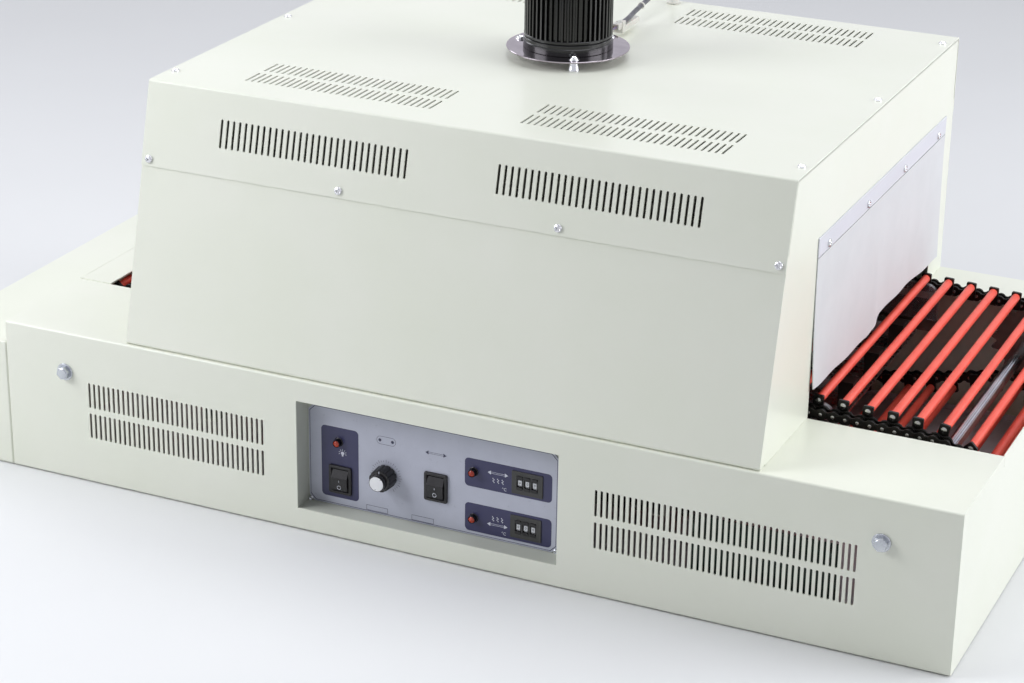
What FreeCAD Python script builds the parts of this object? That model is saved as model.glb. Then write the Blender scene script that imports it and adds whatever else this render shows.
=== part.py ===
"""Infrared shrink tunnel: base cabinet, hood, rod conveyor, circulation fan and control panel.

The origin is the centre of the base cabinet's footprint on the floor. X runs along the conveyor
towards the exit, Y runs from the control side to the rear, Z is up. Millimetres throughout.
"""
import FreeCAD, Part
import math
import os

# Sheet metal
sheet = 1.5
inner_bend = 1.0
flange_width = 14.0
touch_gap = 0.3
seat_gap = 0.1
small_sides = 8
round_sides = 16

# Base cabinet
base_length = 1050.0
base_depth = 615.0
base_height = 169.0
deck_strip_front = 143.0
deck_strip_rear = 57.5
deck_strip_left = 40.0
opening_lip = 12.0
pan_wall = 8.0

# Vents in the base front
base_slot_pitch = 6.0
base_slot_width = 2.7
base_slot_height = 28.5
base_slot_upper_row = 101.75
base_slot_lower_row = 66.75
left_vent_start = -422.4
left_vent_count = 36
right_vent_start = 161.2
right_vent_count = 45

# Drive housing on the infeed end
drive_box_length = 94.2
drive_box_depth = 420.0
drive_box_height = 144.5
drive_box_gap = 0.8

# Hood
hood_length = 701.3
hood_centre_x = -24.85
hood_front_setback = 2.3
hood_rear_setback = 3.0
hood_top_setback = 69.3
machine_height = 439.4
cap_skirt = 86.3
cap_overlap = 16.0
mouth_height = 186.0

# Vents in the hood
hood_slot_pitch = 7.0
hood_slot_width = 2.8
hood_slot_count = 31
hood_slot_first = 50.4
hood_front_slot_drop = 28.4
hood_front_slot_height = 28.7

# Heating chamber
liner_sheet = 1.0
liner_roof_height = 216.0
liner_side_gap = 5.0
liner_lower_gap = 23.0
liner_intake_radius = 55.0
heater_radius = 6.0
upper_heater_count = 6
lower_heater_count = 4
upper_heater_height = 197.0
heater_holder_length = 16.0
heater_holder_side = 20.0
heater_end_play = 4.0
lower_tray_wall = 14.0
lower_tray_margin = 2.0
lower_heater_rise = 18.0

# Curtains
curtain_front_y = -166.0
curtain_width = 438.5
curtain_above_mouth = 2.8
clamp_strip_height = 20.3
clamp_strip_thickness = 1.5
curtain_thickness = 1.2
curtain_hinge_gap = 0.9
curtain_low_rise = 25.0
curtain_step_height = 14.0
curtain_step_start_y = 10.5
curtain_step_end_y = 42.5
curtain_rear_drop = 2.0
curtain_screw_inset = 30.4
curtain_screw_count = 4
curtain_screw_drop = 13.8

# Circulation fan
fan_x = -28.0
fan_y = 38.5
fan_standoff_height = 10.0
fan_flange_radius = 66.0
fan_flange_thickness = 1.5
fan_bolt_circle = 55.8
fan_bolt_angles = (-60.0, 60.0, 180.0)
standoff_top_radius = 4.0
standoff_foot_radius = 6.0
motor_radius = 47.2
motor_ring_radius = 48.0
motor_ring_height = 7.7
motor_step_radius = 47.0
motor_step_height = 3.8
motor_gap_height = 1.0
motor_gap_radius = 44.0
motor_band_height = 3.1
motor_body_height = 100.0
motor_cap_height = 8.0
motor_rib_count = 48
motor_groove_depth = 3.5
motor_crest_half = 0.28
fan_shaft_radius = 4.0
fan_shaft_grip = 40.0
running_clearance = 0.05
impeller_radius = 85.0
impeller_height = 28.0
impeller_plate = 1.5
impeller_blade_count = 12
impeller_blade_thickness = 1.2
impeller_eye_radius = 45.0
impeller_hub_radius = 12.0
impeller_drop = 12.0
shaft_hole_radius = 8.0

# Fan wiring
lead_radius = 1.1
lead_pitch = 3.2
cable_radius = 2.75
connector_size = (9.0, 22.0, 7.0)
grommet_radius = 8.0
grommet_height = 6.0

# Conveyor chain and rods
chain_pitch = 12.7
links_per_rod = 2
sprocket_teeth = 20
chain_roller_radius = 3.96
tooth_tip_share = 0.75
tooth_root_half = 0.3
wheel_arc_steps = 8
chain_inner_width = 7.9
link_plate = 1.5
link_height = 12.0
tab_thickness = 3.6
tab_width = 8.5
tab_above_rod = 4.5
rod_radius = 4.5
rod_rise = 10.0
rod_phase = 4.0
belt_front_y = -154.5
belt_rear_y = 247.5
upper_run_rise = 1.0
axle_drop = 45.1
axle_end_distance = 75.6
guide_end_distance = 116.4
axle_radius = 7.0
sprocket_side_clearance = 0.35
hub_radius = 14.0
hub_length = 17.0
drive_tube_wall = 3.0
guide_thickness = 6.0
guide_height = 42.0
guide_end_radius = 12.0
rail_thickness = 2.5
rail_height = 40.0
rail_foot = 15.0
cross_bar_size = 15.0
cross_bar_span = 500.0

# Conveyor drive
drive_chain_pitch = 9.525
motor_teeth = 12
driven_teeth = 24
drive_sprocket_thickness = 4.2
drive_chain_height = 8.6
drive_sprocket_offset = 27.0
gearmotor_z = 72.0
gearmotor_radius = 32.0
gearmotor_length = 150.0
gearbox_length = 46.0
gearbox_side = 74.0
gearmotor_shaft_radius = 5.0
drive_port_margin = 6.0

# Control panel recess
window_left = -172.0
window_right = 120.7
window_low = 24.0
window_high = 145.1
recess_depth = 24.2
recess_sheet = 1.2
label_thickness = 1.0
label_left = -170.8
label_right = 111.0
label_high = 134.0
label_chamfer = 6.0

# Rocker switches
power_rocker_x = -134.0
power_rocker_z = 54.2
heater_rocker_x = -24.1
heater_rocker_z = 69.2
bezel_width = 26.2
bezel_height = 31.6
bezel_proud = 2.6
rocker_width = 18.8
rocker_half_height = 11.2
rocker_clearance = 0.4
rocker_tilt = 8.0
switch_body_depth = 24.0

# Speed knob
knob_x = -81.2
knob_z = 69.6
knob_radius = 11.5
knob_cap_radius = 7.5
knob_height = 19.0
knob_skirt_height = 13.0
knob_flutes = 12
knob_flute_depth = 0.9
knob_flute_half = 0.2
knob_shaft_radius = 3.0
pot_radius = 12.0
pot_depth = 11.0

# Indicator lamps
lamp_places = ((-135.8, 96.6), (18.0, 95.5), (18.5, 44.1))
lamp_bezel_radius = 5.0
lamp_lens_radius = 3.6
lamp_proud = 2.4
lamp_body_depth = 22.0

# Temperature setters
setter_places = ((77.3, 93.8), (76.4, 44.7))
setter_width = 34.0
setter_height = 24.8
setter_depth = 34.0
setter_wall = 1.6
setter_proud = 1.2
wheel_count = 3
wheel_pitch = 8.15
wheel_width = 6.0
wheel_radius = 9.5
wheel_sides = 10
wheel_window_height = 15.0
wheel_sink = 0.8
wheel_pin_radius = 1.4

# Fasteners
pan_head_radius = 4.2
pan_head_height = 2.6
bolt_across_flats = 13.0
bolt_head_height = 5.5
washer_radius = 9.5
washer_thickness = 1.6
seam_screw_rise = 7.2
seam_screw_inset = 6.0
seam_screw_offset = 120.0
top_screw_inset = 9.0
top_screw_ys = (-202.9, 34.5, 268.5)

# Electrical cabinet
board_width = 150.0
board_height = 70.0
board_thickness = 1.6
board_standoff = 12.0
board_centre_x = 330.0
board_centre_z = 70.0
board_parts = ((-48.0, -12.0, 30.0, 26.0, 24.0), (-8.0, 10.0, 22.0, 30.0, 18.0), (38.0, -4.0, 40.0, 18.0, 20.0))
gland_x = -200.0
gland_z = 60.0
gland_radius = 12.0
gland_hole_radius = 5.0
gland_length = 20.0

# Derived places shared by several pieces
base_left = -base_length / 2
base_right = base_length / 2
base_front = -base_depth / 2
base_rear = base_depth / 2
opening_left = base_left + deck_strip_left
opening_right = base_right - sheet
opening_front = base_front + deck_strip_front
opening_rear = base_rear - deck_strip_rear
hood_left = hood_centre_x - hood_length / 2
hood_right = hood_centre_x + hood_length / 2
hood_rear = base_rear - hood_rear_setback
hood_top_front = base_front + hood_top_setback
cover_foot_y = base_front + hood_front_setback
slope_run = hood_top_front + sheet - cover_foot_y
slope_rise = machine_height - base_height
slope_length = math.hypot(slope_run, slope_rise)
slope_up_y = slope_run / slope_length
slope_up_z = slope_rise / slope_length
cap_foot_z = machine_height - cap_skirt
mouth_top = base_height + mouth_height
liner_roof = base_height + liner_roof_height
curtain_top_z = mouth_top + curtain_above_mouth
curtain_low_z = base_height + curtain_low_rise
curtain_step_z = curtain_low_z + curtain_step_height
curtain_rear_z = curtain_low_z - curtain_rear_drop
seam_screw_z = cap_foot_z + seam_screw_rise
seam_screw_xs = (
    hood_left + seam_screw_inset,
    hood_centre_x - seam_screw_offset,
    hood_centre_x + seam_screw_offset,
    hood_right - seam_screw_inset,
)
sprocket_radius = chain_pitch / (2 * math.sin(math.pi / sprocket_teeth))
rod_pitch = links_per_rod * chain_pitch
axle_spacing_wanted = base_length - 2 * axle_end_distance
rod_count = round((2 * axle_spacing_wanted + 2 * math.pi * sprocket_radius) / rod_pitch)
belt_length = rod_count * rod_pitch
exit_axle_x = base_right - axle_end_distance
axle_z = base_height - axle_drop
upper_run_z = base_height + upper_run_rise
guide_end_x = exit_axle_x - guide_end_distance
gearmotor_x = base_left - drive_box_gap - drive_box_length / 2
hood_front_slot_high = machine_height - hood_front_slot_drop
hood_front_slot_low = hood_front_slot_high - hood_front_slot_height
label_y = base_front + recess_depth
panel_back_y = label_y + label_thickness + recess_sheet
flange_low_z = machine_height + fan_standoff_height
flange_top_z = flange_low_z + fan_flange_thickness


def vec(x, y, z):
    """Shorten the vector constructor."""
    return FreeCAD.Vector(x, y, z)


def on_yz(u, v):
    """Put a flat point in the plane across the conveyor."""
    return vec(0, u, v)


def on_xz(u, v):
    """Put a flat point in the plane along the conveyor."""
    return vec(u, 0, v)


def on_xy(u, v):
    """Put a flat point in the floor plane."""
    return vec(u, v, 0)


def rounded_face(points, radii, place):
    """Make a flat face from a closed polygon whose corners get the given radii."""
    count = len(points)
    starts = []
    ends = []
    middles = []
    for index, corner in enumerate(points):
        before = points[index - 1]
        after = points[(index + 1) % count]
        radius = radii[index]
        if radius <= 0:
            starts.append(corner)
            ends.append(corner)
            middles.append(None)
            continue
        back = (before[0] - corner[0], before[1] - corner[1])
        ahead = (after[0] - corner[0], after[1] - corner[1])
        back_length = math.hypot(*back)
        ahead_length = math.hypot(*ahead)
        back = (back[0] / back_length, back[1] / back_length)
        ahead = (ahead[0] / ahead_length, ahead[1] / ahead_length)
        half = math.acos(max(-1.0, min(1.0, back[0] * ahead[0] + back[1] * ahead[1]))) / 2
        reach = radius / math.tan(half)
        depth = radius / math.sin(half)
        bisector = (back[0] + ahead[0], back[1] + ahead[1])
        size = math.hypot(*bisector)
        share = (depth - radius) / size
        starts.append((corner[0] + back[0] * reach, corner[1] + back[1] * reach))
        ends.append((corner[0] + ahead[0] * reach, corner[1] + ahead[1] * reach))
        middles.append((corner[0] + bisector[0] * share, corner[1] + bisector[1] * share))
    edges = []
    for index in range(count):
        if middles[index] is not None:
            arc = Part.Arc(place(*starts[index]), place(*middles[index]), place(*ends[index]))
            edges.append(arc.toShape())
        here = place(*ends[index])
        there = place(*starts[(index + 1) % count])
        if here.distanceToPoint(there) > 1e-6:
            edges.append(Part.LineSegment(here, there).toShape())
    return Part.Face(Part.Wire(edges))


def polygon_face(points, place):
    """Make a flat face with sharp corners."""
    return rounded_face(points, [0.0] * len(points), place)


def along_x(face, x0, x1):
    """Extrude a face of the YZ plane between two X places."""
    face.translate(vec(x0, 0, 0))
    return face.extrude(vec(x1 - x0, 0, 0))


def along_y(face, y0, y1):
    """Extrude a face of the XZ plane between two Y places."""
    face.translate(vec(0, y0, 0))
    return face.extrude(vec(0, y1 - y0, 0))


def along_z(face, z0, z1):
    """Extrude a face of the XY plane between two heights."""
    face.translate(vec(0, 0, z0))
    return face.extrude(vec(0, 0, z1 - z0))


def block(x0, x1, y0, y1, z0, z1):
    """Make a box from its limits."""
    return Part.makeBox(x1 - x0, y1 - y0, z1 - z0, vec(x0, y0, z0))


def rod(radius, start, end):
    """Make a cylinder between two points."""
    axis = end - start
    return Part.makeCylinder(radius, axis.Length, start, axis)


def regular_rim(sides, radius, centre, turn):
    """List the corners of a regular polygon whose flats lie at the radius."""
    corner = radius / math.cos(math.pi / sides)
    points = []
    for index in range(sides):
        angle = 2 * math.pi / sides * (index + 0.5)
        points.append(centre + turn.multVec(vec(corner * math.cos(angle), corner * math.sin(angle), 0)))
    return points


def flat_face(points):
    """Make a face from points in one plane."""
    return Part.Face(Part.makePolygon(points + points[:1]))


def prism(sides, radius, start, end):
    """Make a regular prism between two points, with its flats at the radius."""
    axis = end - start
    turn = FreeCAD.Rotation(vec(0, 0, 1), axis)
    return flat_face(regular_rim(sides, radius, start, turn)).extrude(axis)


def frustum(sides, radius_start, radius_end, start, end):
    """Make a tapered regular solid between two points."""
    turn = FreeCAD.Rotation(vec(0, 0, 1), end - start)
    low = regular_rim(sides, radius_start, start, turn)
    high = regular_rim(sides, radius_end, end, turn)
    faces = [flat_face(low), flat_face(high)]
    for index in range(sides):
        faces.append(flat_face([low[index - 1], low[index], high[index], high[index - 1]]))
    return Part.Solid(Part.Shell(faces))


def bent_sheet(path, thickness, place):
    """Close a bent sheet's section; the sheet lies on the right of the path of its outer face."""
    normals = []
    for start, end in zip(path, path[1:]):
        length = math.hypot(end[0] - start[0], end[1] - start[1])
        normals.append(((end[1] - start[1]) / length, -(end[0] - start[0]) / length))
    inner = []
    outer_radii = []
    inner_radii = []
    for index, point in enumerate(path):
        first = normals[max(0, index - 1)]
        second = normals[min(index, len(normals) - 1)]
        scale = thickness / (1 + first[0] * second[0] + first[1] * second[1])
        inner.append((point[0] + (first[0] + second[0]) * scale, point[1] + (first[1] + second[1]) * scale))
        turn = first[0] * second[1] - first[1] * second[0]
        if index in (0, len(path) - 1) or abs(turn) < 1e-9:
            outer_radii.append(0.0)
            inner_radii.append(0.0)
        elif turn < 0:
            outer_radii.append(inner_bend + thickness)
            inner_radii.append(inner_bend)
        else:
            outer_radii.append(inner_bend)
            inner_radii.append(inner_bend + thickness)
    points = list(path) + inner[::-1]
    radii = outer_radii + inner_radii[::-1]
    return rounded_face(points, radii, place)


def cut_all(shape, tools):
    """Cut a list of separate tools from a shape."""
    return shape.cut(Part.makeCompound(tools))


def save(name, solids):
    """Write one node's solids to its STEP file."""
    loose = []
    for shape in solids if isinstance(solids, list) else [solids]:
        loose.extend(shape.Solids)
    shape = loose[0] if len(loose) == 1 else Part.makeCompound(loose)
    shape.exportStep("parts/" + name + ".step")


def spread(first, pitch, count):
    """List evenly spaced places."""
    return [first + pitch * index for index in range(count)]


def cover_slope_y(z, proud=0.0):
    """Give the Y of the hood's sloped front at a height, moved outwards by a distance."""
    return cover_foot_y + (z - base_height) * slope_run / slope_rise - proud / slope_up_z


def slot_boxes(xs, width, low, high, y0, y1):
    """Make the cutters of one row of upright slots."""
    return [block(x - width / 2, x + width / 2, y0, y1, low, high) for x in xs]


def base_front_cover():
    """Bend the front wall and the deck strip behind it, with vents, window and bolt holes."""
    path = [
        (base_front + flange_width, 0.0),
        (base_front, 0.0),
        (base_front, base_height),
        (opening_front, base_height),
        (opening_front, base_height - opening_lip),
    ]
    cover = along_x(bent_sheet(path, sheet, on_yz), base_left, base_right)
    inside = base_front + 2 * sheet
    outside = base_front - sheet
    tools = [block(window_left, window_right, outside, inside, window_low, window_high)]
    left_xs = spread(left_vent_start, base_slot_pitch, left_vent_count)
    right_xs = spread(right_vent_start, base_slot_pitch, right_vent_count)
    for centre in (base_slot_lower_row, base_slot_upper_row):
        low = centre - base_slot_height / 2
        high = centre + base_slot_height / 2
        tools += slot_boxes(left_xs + right_xs, base_slot_width, low, high, outside, inside)
    return cut_all(cover, tools)


def base_rear_cover():
    """Bend the rear wall and its deck strip, with the hole of the mains gland."""
    path = [
        (opening_rear, base_height - opening_lip),
        (opening_rear, base_height),
        (base_rear, base_height),
        (base_rear, 0.0),
        (base_rear - flange_width, 0.0),
    ]
    cover = along_x(bent_sheet(path, sheet, on_yz), base_left, base_right)
    inside = vec(gland_x, base_rear - 2 * sheet, gland_z)
    return cover.cut(prism(round_sides, gland_radius - sheet, inside, vec(gland_x, base_rear + sheet, gland_z)))


def end_wall_outline(clear):
    """Outline an end wall that fits inside the covers and rises between the deck strips."""
    low = sheet + clear
    under = base_height - sheet - clear
    front = base_front + sheet + clear
    rear = base_rear - sheet - clear
    inner_front = opening_front + clear
    inner_rear = opening_rear - clear
    under_lip = base_height - opening_lip - clear
    lip_front = opening_front - sheet - clear
    lip_rear = opening_rear + sheet + clear
    return [
        (front, low), (rear, low), (rear, under), (lip_rear, under), (lip_rear, under_lip),
        (inner_rear, under_lip), (inner_rear, base_height), (inner_front, base_height),
        (inner_front, under_lip), (lip_front, under_lip), (lip_front, under), (front, under),
    ]


def base_left_end():
    """Make the infeed end wall with its deck strip and the port of the drive chain."""
    clear = seat_gap
    outline = end_wall_outline(clear)
    wall = along_x(polygon_face(outline, on_yz), base_left, base_left + sheet)
    path = [
        (base_left, base_height - opening_lip),
        (base_left, base_height),
        (opening_left, base_height),
    ]
    strip = along_y(bent_sheet(path, sheet, on_xz), opening_front + clear, opening_rear - clear)
    low, high, front, rear = drive_port_limits()
    port = block(base_left - sheet, base_left + 2 * sheet, front, rear, low, high)
    leg_front = base_front + flange_width + seat_gap
    leg_rear = base_rear - flange_width - seat_gap
    leg = block(base_left, base_left + sheet, leg_front, leg_rear, 0, outline[0][1])
    return wall.fuse([strip, leg]).removeSplitter().cut(port)


def base_right_end():
    """Make the outfeed end wall, whose top edge bounds the conveyor opening."""
    outline = end_wall_outline(seat_gap)
    wall = along_x(polygon_face(outline, on_yz), base_right - sheet, base_right)
    low = outline[0][1]
    leg = block(base_right - sheet, base_right, base_front + flange_width + seat_gap, base_rear - flange_width - seat_gap, 0, low)
    edge = low + pan_wall
    flange = block(base_right - flange_width, base_right, outline[0][0], outline[1][0], edge, edge + sheet)
    return wall.fuse([leg, flange]).removeSplitter()


def base_bottom_pan():
    """Make the floor tray that ties the covers and carries the electrical parts."""
    left = base_left + sheet + seat_gap
    right = base_right - sheet - seat_gap
    front = base_front + flange_width + seat_gap
    rear = base_rear - flange_width - seat_gap
    tray = block(left, right, front, rear, 0, sheet)
    front_wall = block(left, right, front, front + sheet, 0, pan_wall)
    rear_wall = block(left, right, rear - sheet, rear, 0, pan_wall)
    tray = tray.fuse([front_wall, rear_wall]).removeSplitter()
    return tray


def drive_port_limits():
    """Give the heights and Y limits of the port through which the drive chain passes."""
    motor_rim, driven_rim, plane_y = drive_chain_places()
    low = gearmotor_z - motor_rim - drive_port_margin
    high = axle_z + driven_rim + drive_port_margin
    front = plane_y - drive_sprocket_thickness / 2 - drive_port_margin
    rear = plane_y + drive_sprocket_thickness / 2 + drive_port_margin
    return low, min(high, drive_box_height - drive_port_margin), front, rear


def drive_chain_places():
    """Give the drive chain's outer radii on both sprockets and the Y of its middle plane."""
    motor_pitch_radius = drive_chain_pitch / (2 * math.sin(math.pi / motor_teeth))
    driven_pitch_radius = drive_chain_pitch / (2 * math.sin(math.pi / driven_teeth))
    plane_y = belt_front_y - drive_sprocket_offset
    half = drive_chain_height / 2
    return motor_pitch_radius + half, driven_pitch_radius + half, plane_y


def drive_end_housing():
    """Make the lower sheet box at the infeed end that covers the gearmotor."""
    right = base_left - drive_box_gap
    left = right - drive_box_length
    front = base_front
    rear = base_front + drive_box_depth
    shell = block(left, right, front, rear, 0, drive_box_height)
    inside = block(left + sheet, right - sheet, front + sheet, rear - sheet, sheet, drive_box_height - sheet)
    low, high, port_front, port_rear = drive_port_limits()
    port = block(right - 2 * sheet, right + sheet, port_front, port_rear, low, high)
    return shell.cut(inside).cut(port)


def hood_cap():
    """Bend the hood's top with its front and rear skirts, vents and fan shaft hole."""
    front_low_y = cover_slope_y(cap_foot_z, sheet)
    path = [
        (front_low_y, cap_foot_z),
        (cover_slope_y(machine_height, sheet), machine_height),
        (hood_rear, machine_height),
        (hood_rear, cap_foot_z),
    ]
    cap = along_x(bent_sheet(path, sheet, on_yz), hood_left, hood_right)
    xs = [hood_centre_x + hood_slot_first + hood_slot_pitch * index for index in range(hood_slot_count)]
    xs += [2 * hood_centre_x - x for x in xs]
    tools = slot_boxes(
        xs, hood_slot_width, hood_front_slot_low, hood_front_slot_high,
        cover_slope_y(hood_front_slot_low, 4 * sheet), cover_slope_y(hood_front_slot_high, -4 * sheet),
    )
    top = machine_height
    low = top - 2 * sheet
    tools.append(prism(round_sides, shaft_hole_radius, vec(fan_x, fan_y, low), vec(fan_x, fan_y, top + sheet)))
    grommet_y = cable_route()[-1][1]
    grommet_x = cable_route()[-1][0]
    grommet_low = vec(grommet_x, grommet_y, low)
    tools.append(prism(round_sides, grommet_radius - 2 * sheet, grommet_low, vec(grommet_x, grommet_y, top + sheet)))
    return cut_all(cap, tools)


def hood_front_cover():
    """Make the lower sloped front sheet, tucked under the cap's skirt."""
    high = cap_foot_z + cap_overlap
    path = [
        (cover_foot_y + flange_width, base_height),
        (cover_foot_y, base_height),
        (cover_slope_y(high), high),
    ]
    return along_x(bent_sheet(path, sheet, on_yz), hood_left, hood_right)


def hood_rear_cover():
    """Make the upright rear sheet, tucked under the cap's skirt."""
    high = cap_foot_z + cap_overlap
    y = hood_rear - sheet
    path = [(y, high), (y, base_height), (y - flange_width, base_height)]
    return along_x(bent_sheet(path, sheet, on_yz), hood_left, hood_right)


def hood_side(x0, x1, inward):
    """Make one side wall with its conveyor mouth and the flange that the cap screws to."""
    clear = seat_gap
    low = base_height + sheet + clear
    high = machine_height - sheet - clear
    rear = hood_rear - 2 * sheet - clear
    depth = sheet + clear
    outline = [
        (cover_slope_y(low) + depth, low),
        (opening_front, low),
        (opening_front, mouth_top),
        (opening_rear, mouth_top),
        (opening_rear, low),
        (rear, low),
        (rear, high),
        (cover_slope_y(high) + depth, high),
    ]
    wall = along_x(polygon_face(outline, on_yz), x0, x1)
    front_leg = block(x0, x1, outline[0][0] + flange_width, opening_front, base_height, low)
    rear_leg = block(x0, x1, opening_rear, rear - flange_width, base_height, low)
    edge = x0 if inward > 0 else x1
    tip = edge + inward * flange_width
    top_front = outline[7][0]
    flange = block(min(edge, tip), max(edge, tip), top_front, rear, high - sheet, high)
    return wall.fuse([front_leg, rear_leg, flange]).removeSplitter()


def chamber_liner():
    """Make the bright inner shell: two side walls, a roof with the fan's intake and brackets."""
    left = hood_left + sheet + seat_gap
    right = hood_right - sheet - seat_gap
    front = opening_front + liner_side_gap
    rear = opening_rear - liner_side_gap
    low = base_height + liner_lower_gap
    path = [
        (front - flange_width, low),
        (front, low),
        (front, liner_roof),
        (rear, liner_roof),
        (rear, low),
        (rear + flange_width, low),
    ]
    shell = along_x(bent_sheet(path, liner_sheet, on_yz), left, right)
    top = vec(fan_x, fan_y, liner_roof + liner_sheet)
    bottom = vec(fan_x, fan_y, liner_roof - 2 * liner_sheet)
    return shell.cut(prism(motor_rib_count, liner_intake_radius, bottom, top))


def upper_heater_places():
    """List Y and Z of the upper heaters."""
    front = opening_front + liner_side_gap
    rear = opening_rear - liner_side_gap
    pitch = (rear - front) / upper_heater_count
    return [(y, base_height + upper_heater_height) for y in spread(front + pitch / 2, pitch, upper_heater_count)]


def lower_tray_limits():
    """Give the Y limits and floor height of the lower reflector tray."""
    front = rod_front_end() + guide_thickness + lower_tray_margin
    rear = rod_rear_end() - guide_thickness - lower_tray_margin
    floor = rail_low_z()
    return front, rear, floor


def lower_heater_places():
    """List Y and Z of the lower heaters."""
    front, rear, floor = lower_tray_limits()
    pitch = (rear - front) / lower_heater_count
    height = floor + lower_heater_rise
    return [(y, height) for y in spread(front + pitch / 2, pitch, lower_heater_count)]


def heater_span():
    """Give the X limits between which the heaters and their holders stand."""
    return hood_left + sheet + seat_gap, hood_right - sheet - seat_gap


def heater_tubes():
    """Make the quartz heater tubes above and below the belt."""
    left, right = heater_span()
    start = left + heater_holder_length / 2
    end = right - heater_holder_length / 2
    places = upper_heater_places() + lower_heater_places()
    return [prism(small_sides, heater_radius, vec(start, y, z), vec(end, y, z)) for y, z in places]


def heater_holders():
    """Make the ceramic blocks that hold both ends of every heater."""
    left, right = heater_span()
    half = heater_holder_side / 2
    blocks = []
    for y, z in upper_heater_places() + lower_heater_places():
        top = liner_roof - liner_sheet if z > base_height else z + half
        bottom = z - half if z > base_height else lower_tray_limits()[2] + sheet
        for start, way in ((left, 1), (right, -1)):
            end = start + way * heater_holder_length
            holder = block(min(start, end), max(start, end), y - half, y + half, bottom, top)
            seat = start + way * heater_holder_length / 2
            blocks.append(holder.cut(prism(small_sides, heater_radius, vec(seat, y, z), vec(end + way, y, z))))
    return blocks


def lower_reflector():
    """Make the tray under the lower heaters, which lies on the cross bars."""
    left, right = heater_span()
    front, rear, floor = lower_tray_limits()
    path = [
        (front, floor + lower_tray_wall),
        (front, floor),
        (rear, floor),
        (rear, floor + lower_tray_wall),
    ]
    return along_x(bent_sheet(path[::-1], sheet, on_yz), left, right)


def curtain_strips():
    """Make the strips that clamp the curtains to both side walls."""
    low = curtain_top_z - clamp_strip_height
    rear = curtain_front_y + curtain_width
    right = block(hood_right, hood_right + clamp_strip_thickness, curtain_front_y, rear, low, curtain_top_z)
    left = block(hood_left - clamp_strip_thickness, hood_left, curtain_front_y, rear, low, curtain_top_z)
    return [right, left]


def curtain(x0, x1):
    """Make one hanging curtain whose lower edge steps up and falls towards the rear."""
    high = curtain_top_z - clamp_strip_height - curtain_hinge_gap
    rear = curtain_front_y + curtain_width
    step_middle_y = (curtain_step_start_y + curtain_step_end_y) / 2
    step = Part.BezierCurve()
    step.setPoles([
        on_yz(curtain_step_start_y, curtain_low_z),
        on_yz(step_middle_y, curtain_low_z),
        on_yz(step_middle_y, curtain_step_z),
        on_yz(curtain_step_end_y, curtain_step_z),
    ])
    edges = [
        Part.LineSegment(on_yz(curtain_front_y, high), on_yz(curtain_front_y, curtain_low_z)).toShape(),
        Part.LineSegment(on_yz(curtain_front_y, curtain_low_z), on_yz(curtain_step_start_y, curtain_low_z)).toShape(),
        step.toShape(),
        Part.LineSegment(on_yz(curtain_step_end_y, curtain_step_z), on_yz(rear, curtain_rear_z)).toShape(),
        Part.LineSegment(on_yz(rear, curtain_rear_z), on_yz(rear, high)).toShape(),
        Part.LineSegment(on_yz(rear, high), on_yz(curtain_front_y, high)).toShape(),
    ]
    return along_x(Part.Face(Part.Wire(edges)), x0, x1)


def pan_heads():
    """Make the heads of the screws that hold the hood, the curtain strips and the label."""
    heads = []
    slope_normal = vec(0, -slope_up_z, slope_up_y)
    for x in seam_screw_xs:
        seat = vec(x, cover_slope_y(seam_screw_z, sheet), seam_screw_z)
        heads.append(prism(small_sides, pan_head_radius, seat, seat + slope_normal * pan_head_height))
    for x in (hood_left + top_screw_inset, hood_right - top_screw_inset):
        for y in top_screw_ys:
            seat = vec(x, y, machine_height)
            heads.append(prism(small_sides, pan_head_radius, seat, seat + vec(0, 0, pan_head_height)))
    pitch = (curtain_width - 2 * curtain_screw_inset) / (curtain_screw_count - 1)
    for y in spread(curtain_front_y + curtain_screw_inset, pitch, curtain_screw_count):
        for x, way in ((hood_right + clamp_strip_thickness, 1), (hood_left - clamp_strip_thickness, -1)):
            seat = vec(x, y, curtain_top_z - curtain_screw_drop)
            heads.append(prism(small_sides, pan_head_radius, seat, seat + vec(way * pan_head_height, 0, 0)))
    return heads


def rod_front_end():
    """Give the Y at which the rods begin, behind the front chain's tabs."""
    return belt_front_y + 2 * link_plate + chain_inner_width + tab_thickness


def rod_rear_end():
    """Give the Y at which the rods end, mirrored about the belt's middle."""
    return belt_front_y + belt_rear_y - rod_front_end()


def rail_high_z():
    """Give the height of the rails' upper edge, clear of the chain plates."""
    return upper_run_z - link_height / 2 - rail_foot / 2


def rail_low_z():
    """Give the height of the rails' lower edge, which rests on the cross bars."""
    return rail_high_z() - rail_height


def belt_path():
    """Work out the belt's pitch line as arcs and straight runs from the exit sprocket round.

    Each piece is (length, function of distance giving x, z and the outward normal).
    """
    radius = sprocket_radius
    rise = upper_run_z - axle_z
    reach = exit_axle_x - guide_end_x
    direct = math.hypot(reach, rise)
    slope = math.sqrt(direct * direct - radius * radius)
    toward_guide = math.atan2(rise, -reach)
    tangent = toward_guide - math.acos(radius / direct)
    wrap = tangent + math.pi / 2
    flat_both = belt_length - 2 * (radius * wrap + slope)
    spacing = (flat_both + 2 * reach) / 2
    return radius, wrap, slope, tangent, spacing


def entry_axle_x():
    """Give the X of the infeed axle, set by the belt's length."""
    return exit_axle_x - belt_path()[4]


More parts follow.
